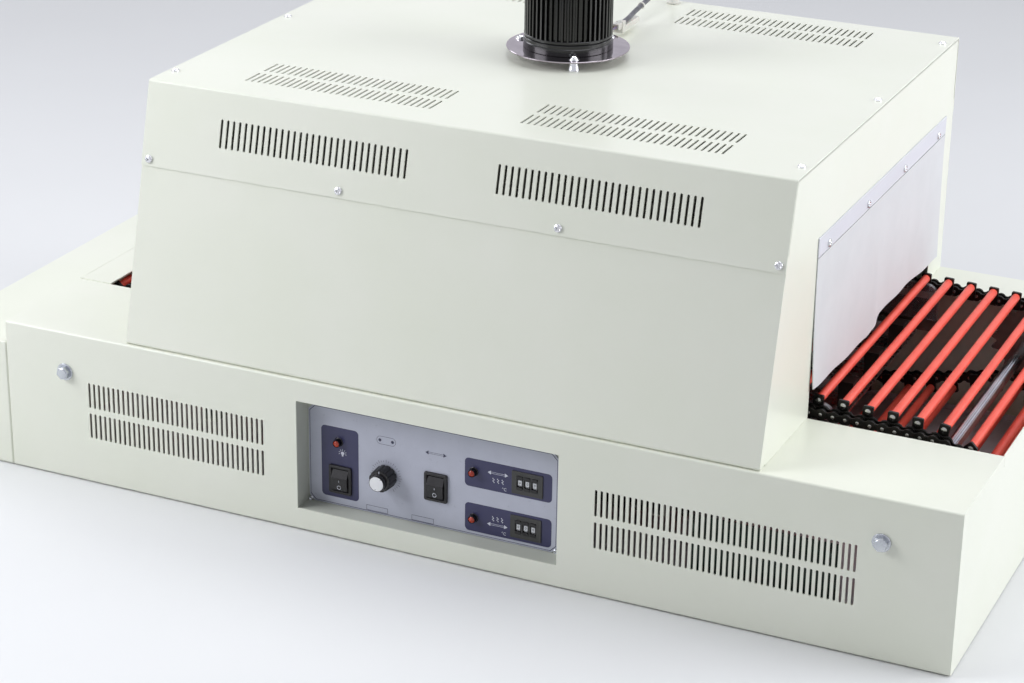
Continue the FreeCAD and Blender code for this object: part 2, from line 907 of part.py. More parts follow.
def belt_point(distance):
    """Give X, Z and the outward normal of the belt at a distance along its pitch line."""
    radius, wrap, slope, tangent, spacing = belt_path()
    reach = exit_axle_x - guide_end_x
    flat = spacing - 2 * reach
    entry_x = exit_axle_x - spacing
    distance = distance % belt_length
    tangent_x = exit_axle_x + radius * math.cos(tangent)
    tangent_z = axle_z + radius * math.sin(tangent)
    if distance < flat:
        return guide_end_x - distance, upper_run_z, 0.0, 1.0
    distance -= flat
    if distance < slope:
        share = distance / slope
        start_x = guide_end_x - flat
        end_x = entry_x - (tangent_x - exit_axle_x)
        x = start_x + (end_x - start_x) * share
        z = upper_run_z + (tangent_z - upper_run_z) * share
        return x, z, -math.cos(tangent), math.sin(tangent)
    distance -= slope
    if distance < radius * wrap:
        angle = math.pi - tangent + distance / radius
        return entry_x + radius * math.cos(angle), axle_z + radius * math.sin(angle), math.cos(angle), math.sin(angle)
    distance -= radius * wrap
    if distance < spacing:
        return entry_x + distance, axle_z - radius, 0.0, -1.0
    distance -= spacing
    if distance < radius * wrap:
        angle = -math.pi / 2 + distance / radius
        return exit_axle_x + radius * math.cos(angle), axle_z + radius * math.sin(angle), math.cos(angle), math.sin(angle)
    distance -= radius * wrap
    share = distance / slope
    x = tangent_x + (guide_end_x - tangent_x) * share
    z = tangent_z + (upper_run_z - tangent_z) * share
    return x, z, math.cos(tangent), math.sin(tangent)


def rod_stations():
    """List the belt points that carry a rod."""
    return [belt_point(rod_phase + index * rod_pitch) for index in range(rod_count)]


def roller_rods():
    """Make the sleeved cross rods that carry the goods, with a flat side on the guides."""
    rods = []
    corner = rod_radius / math.cos(math.pi / small_sides)
    for x, z, nx, nz in rod_stations():
        points = []
        for index in range(small_sides):
            angle = 2 * math.pi / small_sides * (index + 0.5)
            across = corner * math.cos(angle)
            out = rod_rise + corner * math.sin(angle)
            points.append((x + nz * across + nx * out, z - nx * across + nz * out))
        rods.append(along_y(polygon_face(points, on_xz), rod_front_end(), rod_rear_end()))
    return rods


def roller_tabs():
    """Make the upright chain attachments at both ends of every rod."""
    tabs = []
    low = -link_height / 2
    high = rod_rise + tab_above_rod
    half = tab_width / 2
    for x, z, nx, nz in rod_stations():
        corners = [(-half, low), (half, low), (half, high), (-half, high)]
        points = [(x + nz * u + nx * v, z - nx * u + nz * v) for u, v in corners]
        front_face = polygon_face(points, on_xz)
        rear_face = polygon_face(points, on_xz)
        tabs.append(along_y(front_face, rod_front_end() - tab_thickness, rod_front_end()))
        tabs.append(along_y(rear_face, rod_rear_end(), rod_rear_end() + tab_thickness))
    return tabs


def belt_loop_face(offset):
    """Outline the whole belt loop, moved outwards from the pitch line."""
    radius, wrap, slope, tangent, spacing = belt_path()
    flat = spacing - 2 * (exit_axle_x - guide_end_x)
    half_turn = (math.pi / 2 - tangent) / 2
    knee = offset / math.cos(half_turn)
    knee_x = math.sin(half_turn) * knee
    knee_z = upper_run_z + math.cos(half_turn) * knee
    points = [(guide_end_x + knee_x, knee_z), (guide_end_x - flat - knee_x, knee_z)]
    entry_arc = flat + slope
    exit_arc = entry_arc + radius * wrap + spacing
    for arc_start in (entry_arc, exit_arc):
        for step in range(wheel_arc_steps + 1):
            share = min(step / wheel_arc_steps, 1 - 1e-9)
            x, z, nx, nz = belt_point(arc_start + radius * wrap * share)
            points.append((x + nx * offset, z + nz * offset))
    return polygon_face(points, on_xz)


def conveyor_chains():
    """Make the link plates of both chains as closed bands, with the rollers' gap between them."""
    half = link_height / 2
    ring = belt_loop_face(half).cut(belt_loop_face(-half)).Faces[0]
    outer = belt_front_y
    inner = belt_front_y + link_plate + chain_inner_width
    bands = []
    for y in (outer, inner, mirrored_y(outer + link_plate), mirrored_y(inner + link_plate)):
        bands.append(along_y(ring.copy(), y, y + link_plate))
    return bands


def mirrored_y(y):
    """Mirror a Y about the belt's middle."""
    return belt_front_y + belt_rear_y - y


def sprocket(centre_x, y0, y1, bore, hub_start, hub_end):
    """Make one chain wheel with its hub, bored for the axle."""
    root = sprocket_radius - chain_roller_radius - running_clearance
    tip = sprocket_radius + chain_roller_radius * tooth_tip_share
    step = 2 * math.pi / sprocket_teeth
    points = []
    for tooth in range(sprocket_teeth):
        for radius, share in ((root, -tooth_root_half), (tip, 0.0), (root, tooth_root_half)):
            angle = step * (tooth + share)
            points.append((centre_x + radius * math.cos(angle), axle_z + radius * math.sin(angle)))
    wheel = along_y(polygon_face(points, on_xz), y0, y1)
    hub = prism(round_sides, hub_radius, vec(centre_x, hub_start, axle_z), vec(centre_x, hub_end, axle_z))
    reach = hub_length + 1
    hole = prism(round_sides, bore, vec(centre_x, y0 - reach, axle_z), vec(centre_x, y1 + reach, axle_z))
    return wheel.fuse(hub).removeSplitter().cut(hole)


def sprocket_limits():
    """Give the Y limits of the front chain wheels, centred between the link plates."""
    start = belt_front_y + link_plate + sprocket_side_clearance
    return start, start + chain_inner_width - 2 * sprocket_side_clearance


def exit_sprockets():
    """Make the two chain wheels that turn freely on the outfeed axle."""
    y0, y1 = sprocket_limits()
    bore = axle_radius + running_clearance
    front = sprocket(exit_axle_x, y0, y1, bore, y0, y1 + hub_length)
    rear = sprocket(exit_axle_x, mirrored_y(y1), mirrored_y(y0), bore, mirrored_y(y1) - hub_length, mirrored_y(y0))
    return [front, rear]


def entry_sprockets():
    """Make the two driven chain wheels, pressed on the drive tube."""
    y0, y1 = sprocket_limits()
    bore = axle_radius + running_clearance + drive_tube_wall
    x = entry_axle_x()
    front = sprocket(x, y0, y1, bore, y0, y1 + hub_length)
    rear = sprocket(x, mirrored_y(y1), mirrored_y(y0), bore, mirrored_y(y1) - hub_length, mirrored_y(y0))
    return [front, rear]


def drive_tube():
    """Make the tube that turns on the infeed axle and joins its chain wheels."""
    plane_y = drive_chain_places()[2]
    x = entry_axle_x()
    start = vec(x, plane_y - drive_sprocket_thickness, axle_z)
    end = vec(x, mirrored_y(sprocket_limits()[0]), axle_z)
    bore = axle_radius + running_clearance
    return prism(round_sides, bore + drive_tube_wall, start, end).cut(prism(round_sides, bore, start, end))


def axles():
    """Make both bright axles, held between the front and rear covers."""
    front = base_front + sheet
    rear = base_rear - sheet
    return [
        rod(axle_radius, vec(exit_axle_x, front, axle_z), vec(exit_axle_x, rear, axle_z)),
        rod(axle_radius, vec(entry_axle_x(), front, axle_z), vec(entry_axle_x(), rear, axle_z)),
    ]


def hex_prism(across_flats, centre_x, y0, y1, z):
    """Make a hexagon prism along Y."""
    corner = across_flats / math.sqrt(3)
    points = []
    for index in range(6):
        angle = math.pi / 3 * index + math.pi / 12
        points.append((centre_x + corner * math.cos(angle), z + corner * math.sin(angle)))
    return along_y(polygon_face(points, on_xz), y0, y1)


def axle_bolts():
    """Make the hexagon bolts with washers that hold the axles to both covers."""
    parts = []
    for x in (exit_axle_x, entry_axle_x()):
        for face, way in ((base_front, -1), (base_rear, 1)):
            seat = face + way * washer_thickness
            washer = prism(round_sides, washer_radius, vec(x, face, axle_z), vec(x, seat, axle_z))
            tip = seat + way * bolt_head_height
            head = hex_prism(bolt_across_flats, x, min(seat, tip), max(seat, tip), axle_z)
            parts.append(washer.fuse(head).removeSplitter())
    return parts


def chain_guides():
    """Make the plastic guide plates whose upper edges carry the rods."""
    high = upper_run_z + rod_rise - rod_radius - seat_gap
    low = high - guide_height
    left = exit_axle_x - belt_path()[4] + exit_axle_x - guide_end_x
    right = guide_end_x
    corners = [(left, low), (right, low), (right, high), (left, high)]
    radii = [0.0, 0.0, guide_end_radius, guide_end_radius]
    front = rod_front_end()
    rear = rod_rear_end()
    return [
        along_y(rounded_face(corners, radii, on_xz), front, front + guide_thickness),
        along_y(rounded_face(corners, radii, on_xz), rear - guide_thickness, rear),
    ]


def rail_span():
    """Give the X limits of the rails, clear of both pairs of chain wheels."""
    reach = exit_axle_x - guide_end_x - guide_end_radius
    return entry_axle_x() + reach, exit_axle_x - reach


def conveyor_rails():
    """Make the angle rails that stand on the cross bars and hold the guide plates."""
    left, right = rail_span()
    low = rail_low_z()
    high = rail_high_z()
    front = rod_front_end()
    rear = rod_rear_end()
    foot = rail_foot
    front_path = [(front - foot, low), (front, low), (front, high)]
    rear_path = [(rear, high), (rear, low), (rear + foot, low)]
    return [
        along_x(bent_sheet([(u, v) for u, v in front_path][::-1], rail_thickness, on_yz), left, right),
        along_x(bent_sheet(rear_path[::-1], rail_thickness, on_yz), left, right),
    ]


def cross_bars():
    """Make the square bars that carry the rails between the front and rear covers."""
    top = rail_low_z()
    bars = []
    for x in (hood_centre_x - cross_bar_span / 2, hood_centre_x + cross_bar_span / 2):
        half = cross_bar_size / 2
        outer = block(x - half, x + half, base_front + sheet, base_rear - sheet, top - cross_bar_size, top)
        inner = block(
            x - half + sheet, x + half - sheet, base_front, base_rear, top - cross_bar_size + sheet, top - sheet
        )
        bars.append(outer.cut(inner))
    return bars


def drive_wheel(centre_x, centre_z, teeth, bore):
    """Make one small toothed wheel of the drive chain."""
    plane_y = drive_chain_places()[2]
    half = drive_sprocket_thickness / 2
    pitch_radius = drive_chain_pitch / (2 * math.sin(math.pi / teeth))
    root = pitch_radius - drive_chain_height / 2
    step = 2 * math.pi / teeth
    points = []
    for tooth in range(teeth):
        for radius, share in ((root, -tooth_root_half), (pitch_radius, 0.0), (root, tooth_root_half)):
            angle = step * (tooth + share)
            points.append((centre_x + radius * math.cos(angle), centre_z + radius * math.sin(angle)))
    wheel = along_y(polygon_face(points, on_xz), plane_y - half, plane_y + half)
    hole = prism(round_sides, bore, vec(centre_x, plane_y - half, centre_z), vec(centre_x, plane_y + half, centre_z))
    return wheel.cut(hole)


def driven_sprocket():
    """Make the wheel that turns the drive tube."""
    bore = axle_radius + running_clearance + drive_tube_wall
    return drive_wheel(entry_axle_x(), axle_z, driven_teeth, bore)


def gearmotor_sprocket():
    """Make the wheel on the gearmotor with the output shaft that carries it."""
    plane_y = drive_chain_places()[2]
    wheel = drive_wheel(gearmotor_x, gearmotor_z, motor_teeth, gearmotor_shaft_radius)
    start = vec(gearmotor_x, plane_y - drive_sprocket_thickness, gearmotor_z)
    end = vec(gearmotor_x, gearbox_front_y() + gearbox_length / 2, gearmotor_z)
    return [wheel, rod(gearmotor_shaft_radius, start, end)]


def gearbox_front_y():
    """Give the Y of the gearbox face beside the drive chain."""
    return drive_chain_places()[2] + drive_sprocket_thickness + touch_gap + sheet


def gearmotor():
    """Make the gearmotor: square gearbox with the round motor behind it, standing on its foot."""
    front = gearbox_front_y()
    half = gearbox_side / 2
    rear = front + gearbox_length
    box = block(gearmotor_x - half, gearmotor_x + half, front, rear, gearmotor_z - half, gearmotor_z + half)
    motor_end = vec(gearmotor_x, rear + gearmotor_length, gearmotor_z)
    motor = prism(round_sides, gearmotor_radius, vec(gearmotor_x, rear, gearmotor_z), motor_end)
    foot = block(gearmotor_x - half, gearmotor_x + half, front, rear, sheet, gearmotor_z - half)
    bore = prism(
        round_sides,
        gearmotor_shaft_radius + running_clearance,
        vec(gearmotor_x, front - 1, gearmotor_z),
        vec(gearmotor_x, front + gearbox_length / 2 + touch_gap, gearmotor_z),
    )
    return box.fuse([motor, foot]).removeSplitter().cut(bore)


def drive_chain():
    """Make the drive chain's link plates as two open bands beside the wheels."""
    motor_rim, driven_rim, plane_y = drive_chain_places()
    x = entry_axle_x()
    span_x = x - gearmotor_x
    span_z = axle_z - gearmotor_z
    distance = math.hypot(span_x, span_z)
    along = math.atan2(span_z, span_x)
    faces = []
    for inset in (0.0, drive_chain_height):
        small = motor_rim - inset
        large = driven_rim - inset
        lean = math.acos((small - large) / distance)
        arcs = (
            (x, axle_z, large, along + lean, along - lean),
            (gearmotor_x, gearmotor_z, small, along - lean, along + lean - 2 * math.pi),
        )
        points = []
        for centre_x, centre_z, radius, first, last in arcs:
            for step in range(wheel_arc_steps + 1):
                angle = first + (last - first) * step / wheel_arc_steps
                points.append((centre_x + radius * math.cos(angle), centre_z + radius * math.sin(angle)))
        faces.append(polygon_face(points, on_xz))
    ring = faces[0].cut(faces[1]).Faces[0]
    half = drive_sprocket_thickness / 2 + touch_gap
    return [
        along_y(ring.copy(), plane_y - half - sheet, plane_y - half),
        along_y(ring.copy(), plane_y + half, plane_y + half + sheet),
    ]


def fan_standoffs():
    """Make the tapered feet that hold the fan flange above the hood, and their screws."""
    feet = []
    for angle in fan_bolt_angles:
        x = fan_x + fan_bolt_circle * math.cos(math.radians(angle))
        y = fan_y + fan_bolt_circle * math.sin(math.radians(angle))
        foot_seat = vec(x, y, machine_height)
        foot = frustum(round_sides, standoff_foot_radius, standoff_top_radius, foot_seat, vec(x, y, flange_low_z))
        head_seat = vec(x, y, flange_top_z)
        head = prism(small_sides, pan_head_radius, head_seat, head_seat + vec(0, 0, pan_head_height))
        feet += [foot, head]
    return feet


def fan_flange():
    """Make the polished mounting disc under the motor."""
    low = vec(fan_x, fan_y, flange_low_z)
    high = vec(fan_x, fan_y, flange_top_z)
    return prism(motor_rib_count, fan_flange_radius, low, high).cut(prism(round_sides, shaft_hole_radius, low, high))


def motor_body_low_z():
    """Give the height at which the ribbed motor body starts."""
    return flange_top_z + motor_ring_height + motor_step_height + motor_gap_height


def fan_motor_body():
    """Stack the motor's stepped foot, ribbed housing and bands, and bore it for the shaft."""
    step = flange_top_z + motor_ring_height
    gap = step + motor_step_height
    low = motor_body_low_z()
    high = low + motor_body_height
    drums = (
        (motor_ring_radius, flange_top_z, step), (motor_step_radius, step, gap), (motor_gap_radius, gap, low),
        (motor_radius, low, low + motor_band_height), (motor_radius, high - motor_band_height, high),
    )
    pieces = []
    for radius, start, end in drums:
        pieces.append(prism(motor_rib_count, radius, vec(fan_x, fan_y, start), vec(fan_x, fan_y, end)))
    step_angle = 2 * math.pi / motor_rib_count
    points = []
    for rib in range(motor_rib_count):
        for share, radius in (
            (-0.5, motor_radius - motor_groove_depth), (-motor_crest_half, motor_radius), (motor_crest_half, motor_radius)
        ):
            angle = step_angle * (rib + share)
            points.append((fan_x + radius * math.cos(angle), fan_y + radius * math.sin(angle)))
    ribs = along_z(polygon_face(points, on_xy), low + motor_band_height, high - motor_band_height)
    bore_top = flange_top_z + fan_shaft_grip + touch_gap
    bore = prism(
        round_sides, fan_shaft_radius + running_clearance, vec(fan_x, fan_y, flange_top_z), vec(fan_x, fan_y, bore_top)
    )
    return ribs.fuse(pieces).removeSplitter().cut(bore)


def fan_motor_cap():
    """Make the motor's shallow end cap with its sloped rim."""
    low = motor_body_low_z() + motor_body_height
    rim = low + motor_cap_height / 2
    high = low + motor_cap_height
    middle = vec(fan_x, fan_y, rim)
    drum = prism(motor_rib_count, motor_radius, vec(fan_x, fan_y, low), middle)
    top_radius = motor_radius - motor_cap_height / 2
    slope = frustum(motor_rib_count, motor_radius, top_radius, middle, vec(fan_x, fan_y, high))
    return drum.fuse(slope).removeSplitter()


def impeller_limits():
    """Give the heights of the impeller under the hood's top."""
    high = machine_height - sheet - impeller_drop
    return high - impeller_height, high


def fan_shaft():
    """Make the motor shaft that reaches down to the impeller."""
    low, high = impeller_limits()
    return rod(fan_shaft_radius, vec(fan_x, fan_y, low), vec(fan_x, fan_y, flange_top_z + fan_shaft_grip))


def fan_impeller():
    """Make the radial impeller: back plate, hub and straight blades."""
    low, high = impeller_limits()
    bottom = vec(fan_x, fan_y, low)
    top = vec(fan_x, fan_y, high)
    plate_low = vec(fan_x, fan_y, high - impeller_plate)
    plate = prism(motor_rib_count, impeller_radius, plate_low, top)
    hub = prism(round_sides, impeller_hub_radius, bottom, top)
    blades = []
    for index in range(impeller_blade_count):
        blade = block(
            impeller_eye_radius, impeller_radius - impeller_blade_thickness,
            -impeller_blade_thickness / 2, impeller_blade_thickness / 2, low, high - impeller_plate / 2,
        )
        blade.rotate(vec(0, 0, 0), vec(0, 0, 1), 360 / impeller_blade_count * index)
        blade.translate(vec(fan_x, fan_y, 0))
        blades.append(blade)
    hole = prism(round_sides, fan_shaft_radius, bottom, top)
    return plate.fuse([hub] + blades).removeSplitter().cut(hole)


def cable_route():
    """List the points of the fan cable from its connector to the grommet behind the frame's edge."""
    return [
        (-5.0, 134.0, 455.0),
        (-5.0, 148.0, 455.0),
        (-8.0, 174.0, 456.5),
        (-9.0, 204.0, 459.0),
        (-8.0, 234.0, 464.0),
        (-6.8, 260.0, 470.0),
        (-6.2, 281.0, 468.5),
        (-6.0, 290.0, 458.0),
        (-6.0, 290.0, machine_height + grommet_height),
    ]


def tube_along(points, radius):
    """Sweep a round cord along straight runs joined by the largest arcs they allow."""
    places = [vec(*point) for point in points]
    edges = []
    start = places[0]
    for index in range(1, len(places) - 1):
        before = places[index] - places[index - 1]
        after = places[index + 1] - places[index]
        half_turn = before.getAngle(after) / 2
        reach = 0.45 * min(before.Length, after.Length)
        print("cord arc radius", round(reach / math.tan(half_turn), 1))
        back = before.normalize() * -1
        ahead = after.normalize()
        arc_start = places[index] + back * reach
        arc_end = places[index] + ahead * reach
        bisector = (back + ahead).normalize()
        radius_here = reach / math.tan(half_turn)
        arc_middle = places[index] + bisector * (radius_here / math.cos(half_turn) - radius_here)
        edges.append(Part.LineSegment(start, arc_start).toShape())
        edges.append(Part.Arc(arc_start, arc_middle, arc_end).toShape())
        start = arc_end
    edges.append(Part.LineSegment(start, places[-1]).toShape())
    path = Part.Wire(edges)
    turn = FreeCAD.Rotation(vec(0, 0, 1), places[1] - places[0])
    section = flat_face(regular_rim(small_sides, radius, places[0], turn))
    tube = path.makePipeShell([section.OuterWire], True, False)
    print("cord volume over section times length", round(tube.Volume / (section.Area * path.Length), 3))
    return tube


def fan_connector():
    """Make the plug housing between the fan's leads and its cable."""
    x, y, z = cable_route()[0]
    width, length, height = connector_size
    corners = [(x - width / 2, y - length), (x + width / 2, y - length), (x + width / 2, y), (x - width / 2, y)]
    return along_z(rounded_face(corners, [1.0] * 4, on_xy), z - height / 2, z + height / 2)


def fan_leads():
    """Make the two thin leads from the motor's foot to the connector."""
    x, y, z = cable_route()[0]
    end_y = y - connector_size[1]
    leads = []
    for side in (-0.5, 0.5):
        lead_x = x + side * lead_pitch
        reach = math.sqrt(motor_ring_radius**2 - (lead_x - fan_x) ** 2)
        start = vec(lead_x, fan_y + reach + lead_radius / 2, z)
        leads.append(prism(small_sides, lead_radius, start, vec(lead_x, end_y, z)))
    return leads


def cable_grommet():
    """Make the rubber grommet in the hood's top where the cable goes in."""
    x, y, top = cable_route()[-1]
    seat = vec(x, y, machine_height)
    outer = prism(round_sides, grommet_radius, seat, vec(x, y, top))
    neck = prism(round_sides, grommet_radius - 2 * sheet - seat_gap, vec(x, y, machine_height - 2 * sheet), seat)
    return outer.fuse(neck).removeSplitter()


def recess_box():
    """Make the tray behind the window that carries the label and the controls."""
    front = base_front + sheet
    left = window_left - touch_gap
    right = window_right + touch_gap
    low = window_low - touch_gap
    high = window_high + touch_gap
    back = label_y + label_thickness
    wall = recess_sheet
    outer = block(left - wall, right + wall, front, back + wall, low - wall, high + wall)
    rim = block(left - flange_width, right + flange_width, front, front + wall, low - flange_width, high + flange_width)
    inside = block(left, right, front - 1, back, low, high)
    body = outer.fuse(rim).removeSplitter().cut(inside)
    return cut_all(body, panel_holes(back - 1, back + wall + 1))


def panel_holes(y0, y1):
    """Make the cutters of every control's hole in the label and the tray."""
    half_width = bezel_width / 2 - 2
    half_height = bezel_height / 2 - 2
    tools = []
    for x, z in ((power_rocker_x, power_rocker_z), (heater_rocker_x, heater_rocker_z)):
        tools.append(block(x - half_width, x + half_width, y0, y1, z - half_height, z + half_height))
    for x, z in setter_places:
        half = setter_width / 2 - setter_wall / 2
        rise = setter_height / 2 - setter_wall / 2
        tools.append(block(x - half, x + half, y0, y1, z - rise, z + rise))
    for x, z in lamp_places:
        tools.append(prism(round_sides, lamp_lens_radius + touch_gap, vec(x, y0, z), vec(x, y1, z)))
    tools.append(prism(round_sides, knob_shaft_radius + 1, vec(knob_x, y0, knob_z), vec(knob_x, y1, knob_z)))
    return tools


def label_plate():
    """Make the printed front plate with its chamfered corners and control holes."""
    low = window_low
    left = label_left
    right = label_right
    high = label_high
    cut = label_chamfer
    corners = [
        (left + cut, low), (right - cut, low), (right, low + cut), (right, high - cut),
        (right - cut, high), (left + cut, high), (left, high - cut), (left, low + cut),
    ]
    plate = along_y(polygon_face(corners, on_xz), label_y, label_y + label_thickness)
    return cut_all(plate, panel_holes(label_y - 1, label_y + label_thickness + 1))


def switch_case(x, z):
    """Make one switch body with its front bezel, hollow around the rocker."""
    front = label_y - bezel_proud
    corners = [
        (x - bezel_width / 2, z - bezel_height / 2), (x + bezel_width / 2, z - bezel_height / 2),
        (x + bezel_width / 2, z + bezel_height / 2), (x - bezel_width / 2, z + bezel_height / 2),
    ]
    bezel = along_y(rounded_face(corners, [2.0] * 4, on_xz), front, label_y)
    half_width = bezel_width / 2 - 2 - seat_gap
    half_height = bezel_height / 2 - 2 - seat_gap
    back = label_y + switch_body_depth
    body = block(x - half_width, x + half_width, label_y, back, z - half_height, z + half_height)
    inner_width = rocker_width / 2 + rocker_clearance
    inner_height = math.hypot(rocker_half_height, rocker_front()) + rocker_clearance
    cavity = block(x - inner_width, x + inner_width, front - 1, back - sheet, z - inner_height, z + inner_height)
    return bezel.fuse(body).removeSplitter().cut(cavity)


def rocker_front():
    """Give how far the rocker's tips stand in front of its pivot."""
    return bezel_proud + 2.0


def rocker_pivot_y():
    """Give the Y of the rockers' pivot, level with the label."""
    return label_y


def rocker(x, z):
    """Make one rocker with its two sloped halves, resting with the lower half pressed in."""
    tip = rocker_front()
    valley = tip - 1.6
    points = [
        (-tip, -rocker_half_height), (-valley, 0.0), (-tip, rocker_half_height),
        (tip, rocker_half_height), (tip, -rocker_half_height),
    ]
    radii = [0.6, 6.0, 0.6, 0.0, 0.0]
    body = along_x(rounded_face(points, radii, on_yz), -rocker_width / 2, rocker_width / 2)
    body.rotate(vec(0, 0, 0), vec(1, 0, 0), rocker_tilt)
    body.translate(vec(x, rocker_pivot_y(), z))
    return body


def speed_knob():
    """Make the knob with its fluted skirt and bright cap, and the shaft it grips."""
    seat = label_y - touch_gap
    skirt = seat - knob_skirt_height
    front = seat - knob_height
    points = []
    for flute in range(knob_flutes):
        for radius, share in (
            (knob_radius - knob_flute_depth, 0.0), (knob_radius, knob_flute_half), (knob_radius, 1 - knob_flute_half)
        ):
            angle = 2 * math.pi / knob_flutes * (flute + share)
            points.append((knob_x + radius * math.cos(angle), knob_z + radius * math.sin(angle)))
    body = along_y(polygon_face(points, on_xz), skirt, seat)
    cap = prism(round_sides, knob_cap_radius, vec(knob_x, front, knob_z), vec(knob_x, skirt, knob_z))
    tip = vec(knob_x, skirt, knob_z)
    shaft = rod(knob_shaft_radius, tip, vec(knob_x, panel_back_y + pot_depth / 2, knob_z))
    return [body.fuse(cap).removeSplitter().cut(shaft), shaft]


def speed_potentiometer():
    """Make the potentiometer behind the panel, bored for the knob's shaft."""
    face = vec(knob_x, panel_back_y, knob_z)
    body = prism(round_sides, pot_radius, face, vec(knob_x, panel_back_y + pot_depth, knob_z))
    bore_end = vec(knob_x, panel_back_y + pot_depth / 2 + touch_gap, knob_z)
    return body.cut(prism(round_sides, knob_shaft_radius + running_clearance, face, bore_end))


def lamp_bezels():
    """Make the plated rings of the indicator lamps."""
    rings = []
    for x, z in lamp_places:
        seat = vec(x, label_y, z)
        front = vec(x, label_y - lamp_proud, z)
        ring = prism(round_sides, lamp_bezel_radius, seat, front)
        rings.append(ring.cut(prism(round_sides, lamp_lens_radius, seat, front)))
    return rings


def lamp_lenses():
    """Make the red lamp bodies that pass through the rings and the panel."""
    bodies = []
    for x, z in lamp_places:
        front = vec(x, label_y - lamp_proud, z)
        bodies.append(prism(round_sides, lamp_lens_radius, front, vec(x, label_y + lamp_body_depth, z)))
    return bodies


def setter_wheel_xs(x):
    """List the middle X of one setter's number wheels."""
    return spread(x - wheel_pitch * (wheel_count - 1) / 2, wheel_pitch, wheel_count)


def wheel_axis_y():
    """Give the Y of the number wheels' pins, behind the setter's window."""
    return label_y - setter_proud + wheel_sink + wheel_radius


def setter_housings():
    """Make the setters' cases with a window, a room and a pin for every number wheel."""
    cases = []
    front = label_y - setter_proud
    back = label_y + setter_depth
    axis_y = wheel_axis_y()
    room = wheel_radius / math.cos(math.pi / wheel_sides) + touch_gap
    slot_half = wheel_width / 2 + touch_gap
    window_half = wheel_window_height / 2
    for x, z in setter_places:
        rim = block(
            x - setter_width / 2, x + setter_width / 2, front, label_y, z - setter_height / 2, z + setter_height / 2
        )
        half = setter_width / 2 - setter_wall / 2 - seat_gap
        rise = setter_height / 2 - setter_wall / 2 - seat_gap
        body = block(x - half, x + half, label_y, back, z - rise, z + rise)
        case = rim.fuse(body).removeSplitter()
        tools = []
        pins = []
        for wheel_x in setter_wheel_xs(x):
            left = wheel_x - slot_half
            right = wheel_x + slot_half
            tools.append(block(left, right, front - 1, front + setter_wall, z - window_half, z + window_half))
            tools.append(block(left, right, front + setter_wall - touch_gap, axis_y + room, z - room, z + room))
            pins.append(prism(small_sides, wheel_pin_radius, vec(left, axis_y, z), vec(right, axis_y, z)))
        cases.append(cut_all(case, tools).fuse(pins).removeSplitter())
    return cases


def number_wheel(x, z):
    """Make one ten-sided number wheel, bored for its pin."""
    y = wheel_axis_y()
    corner = wheel_radius / math.cos(math.pi / wheel_sides)
    points = []
    for index in range(wheel_sides):
        angle = 2 * math.pi / wheel_sides * (index + 0.5)
        points.append((y - corner * math.cos(angle), z + corner * math.sin(angle)))
    wheel = along_x(polygon_face(points, on_yz), x - wheel_width / 2, x + wheel_width / 2)
    bore = wheel_pin_radius / math.cos(math.pi / small_sides) + running_clearance
    return wheel.cut(prism(small_sides, bore, vec(x - wheel_width, y, z), vec(x + wheel_width, y, z)))


def control_board():
    """Make the circuit board with its parts, standing on posts behind the front cover."""
    back = base_front + sheet + board_standoff
    left = board_centre_x - board_width / 2
    low = board_centre_z - board_height / 2
    board = block(left, left + board_width, back, back + board_thickness, low, low + board_height)
    inset = board_standoff / 2
    front = base_front + sheet
    pieces = []
    for x in (left + inset, left + board_width - inset):
        for z in (low + inset, low + board_height - inset):
            pieces.append(prism(small_sides, inset / 2, vec(x, front, z), vec(x, back, z)))
    for dx, dz, width, height, depth in board_parts:
        x = board_centre_x + dx
        z = board_centre_z + dz
        start = back + board_thickness
        pieces.append(block(x - width / 2, x + width / 2, start, start + depth, z - height / 2, z + height / 2))
    return [board] + pieces


def mains_gland():
    """Make the gland in the rear cover through which the supply lead enters."""
    seat = vec(gland_x, base_rear, gland_z)
    tip = vec(gland_x, base_rear + gland_length, gland_z)
    inner_end = vec(gland_x, base_rear - 2 * sheet, gland_z)
    outer = prism(round_sides, gland_radius, seat, tip)
    neck = prism(round_sides, gland_radius - sheet - seat_gap, inner_end, seat)
    return outer.fuse(neck).removeSplitter().cut(prism(round_sides, gland_hole_radius, inner_end, tip))


def hood_sides():
    """Make both hood side walls."""
    left = hood_side(hood_left, hood_left + sheet, 1)
    right = hood_side(hood_right - sheet, hood_right, -1)
    return left, right


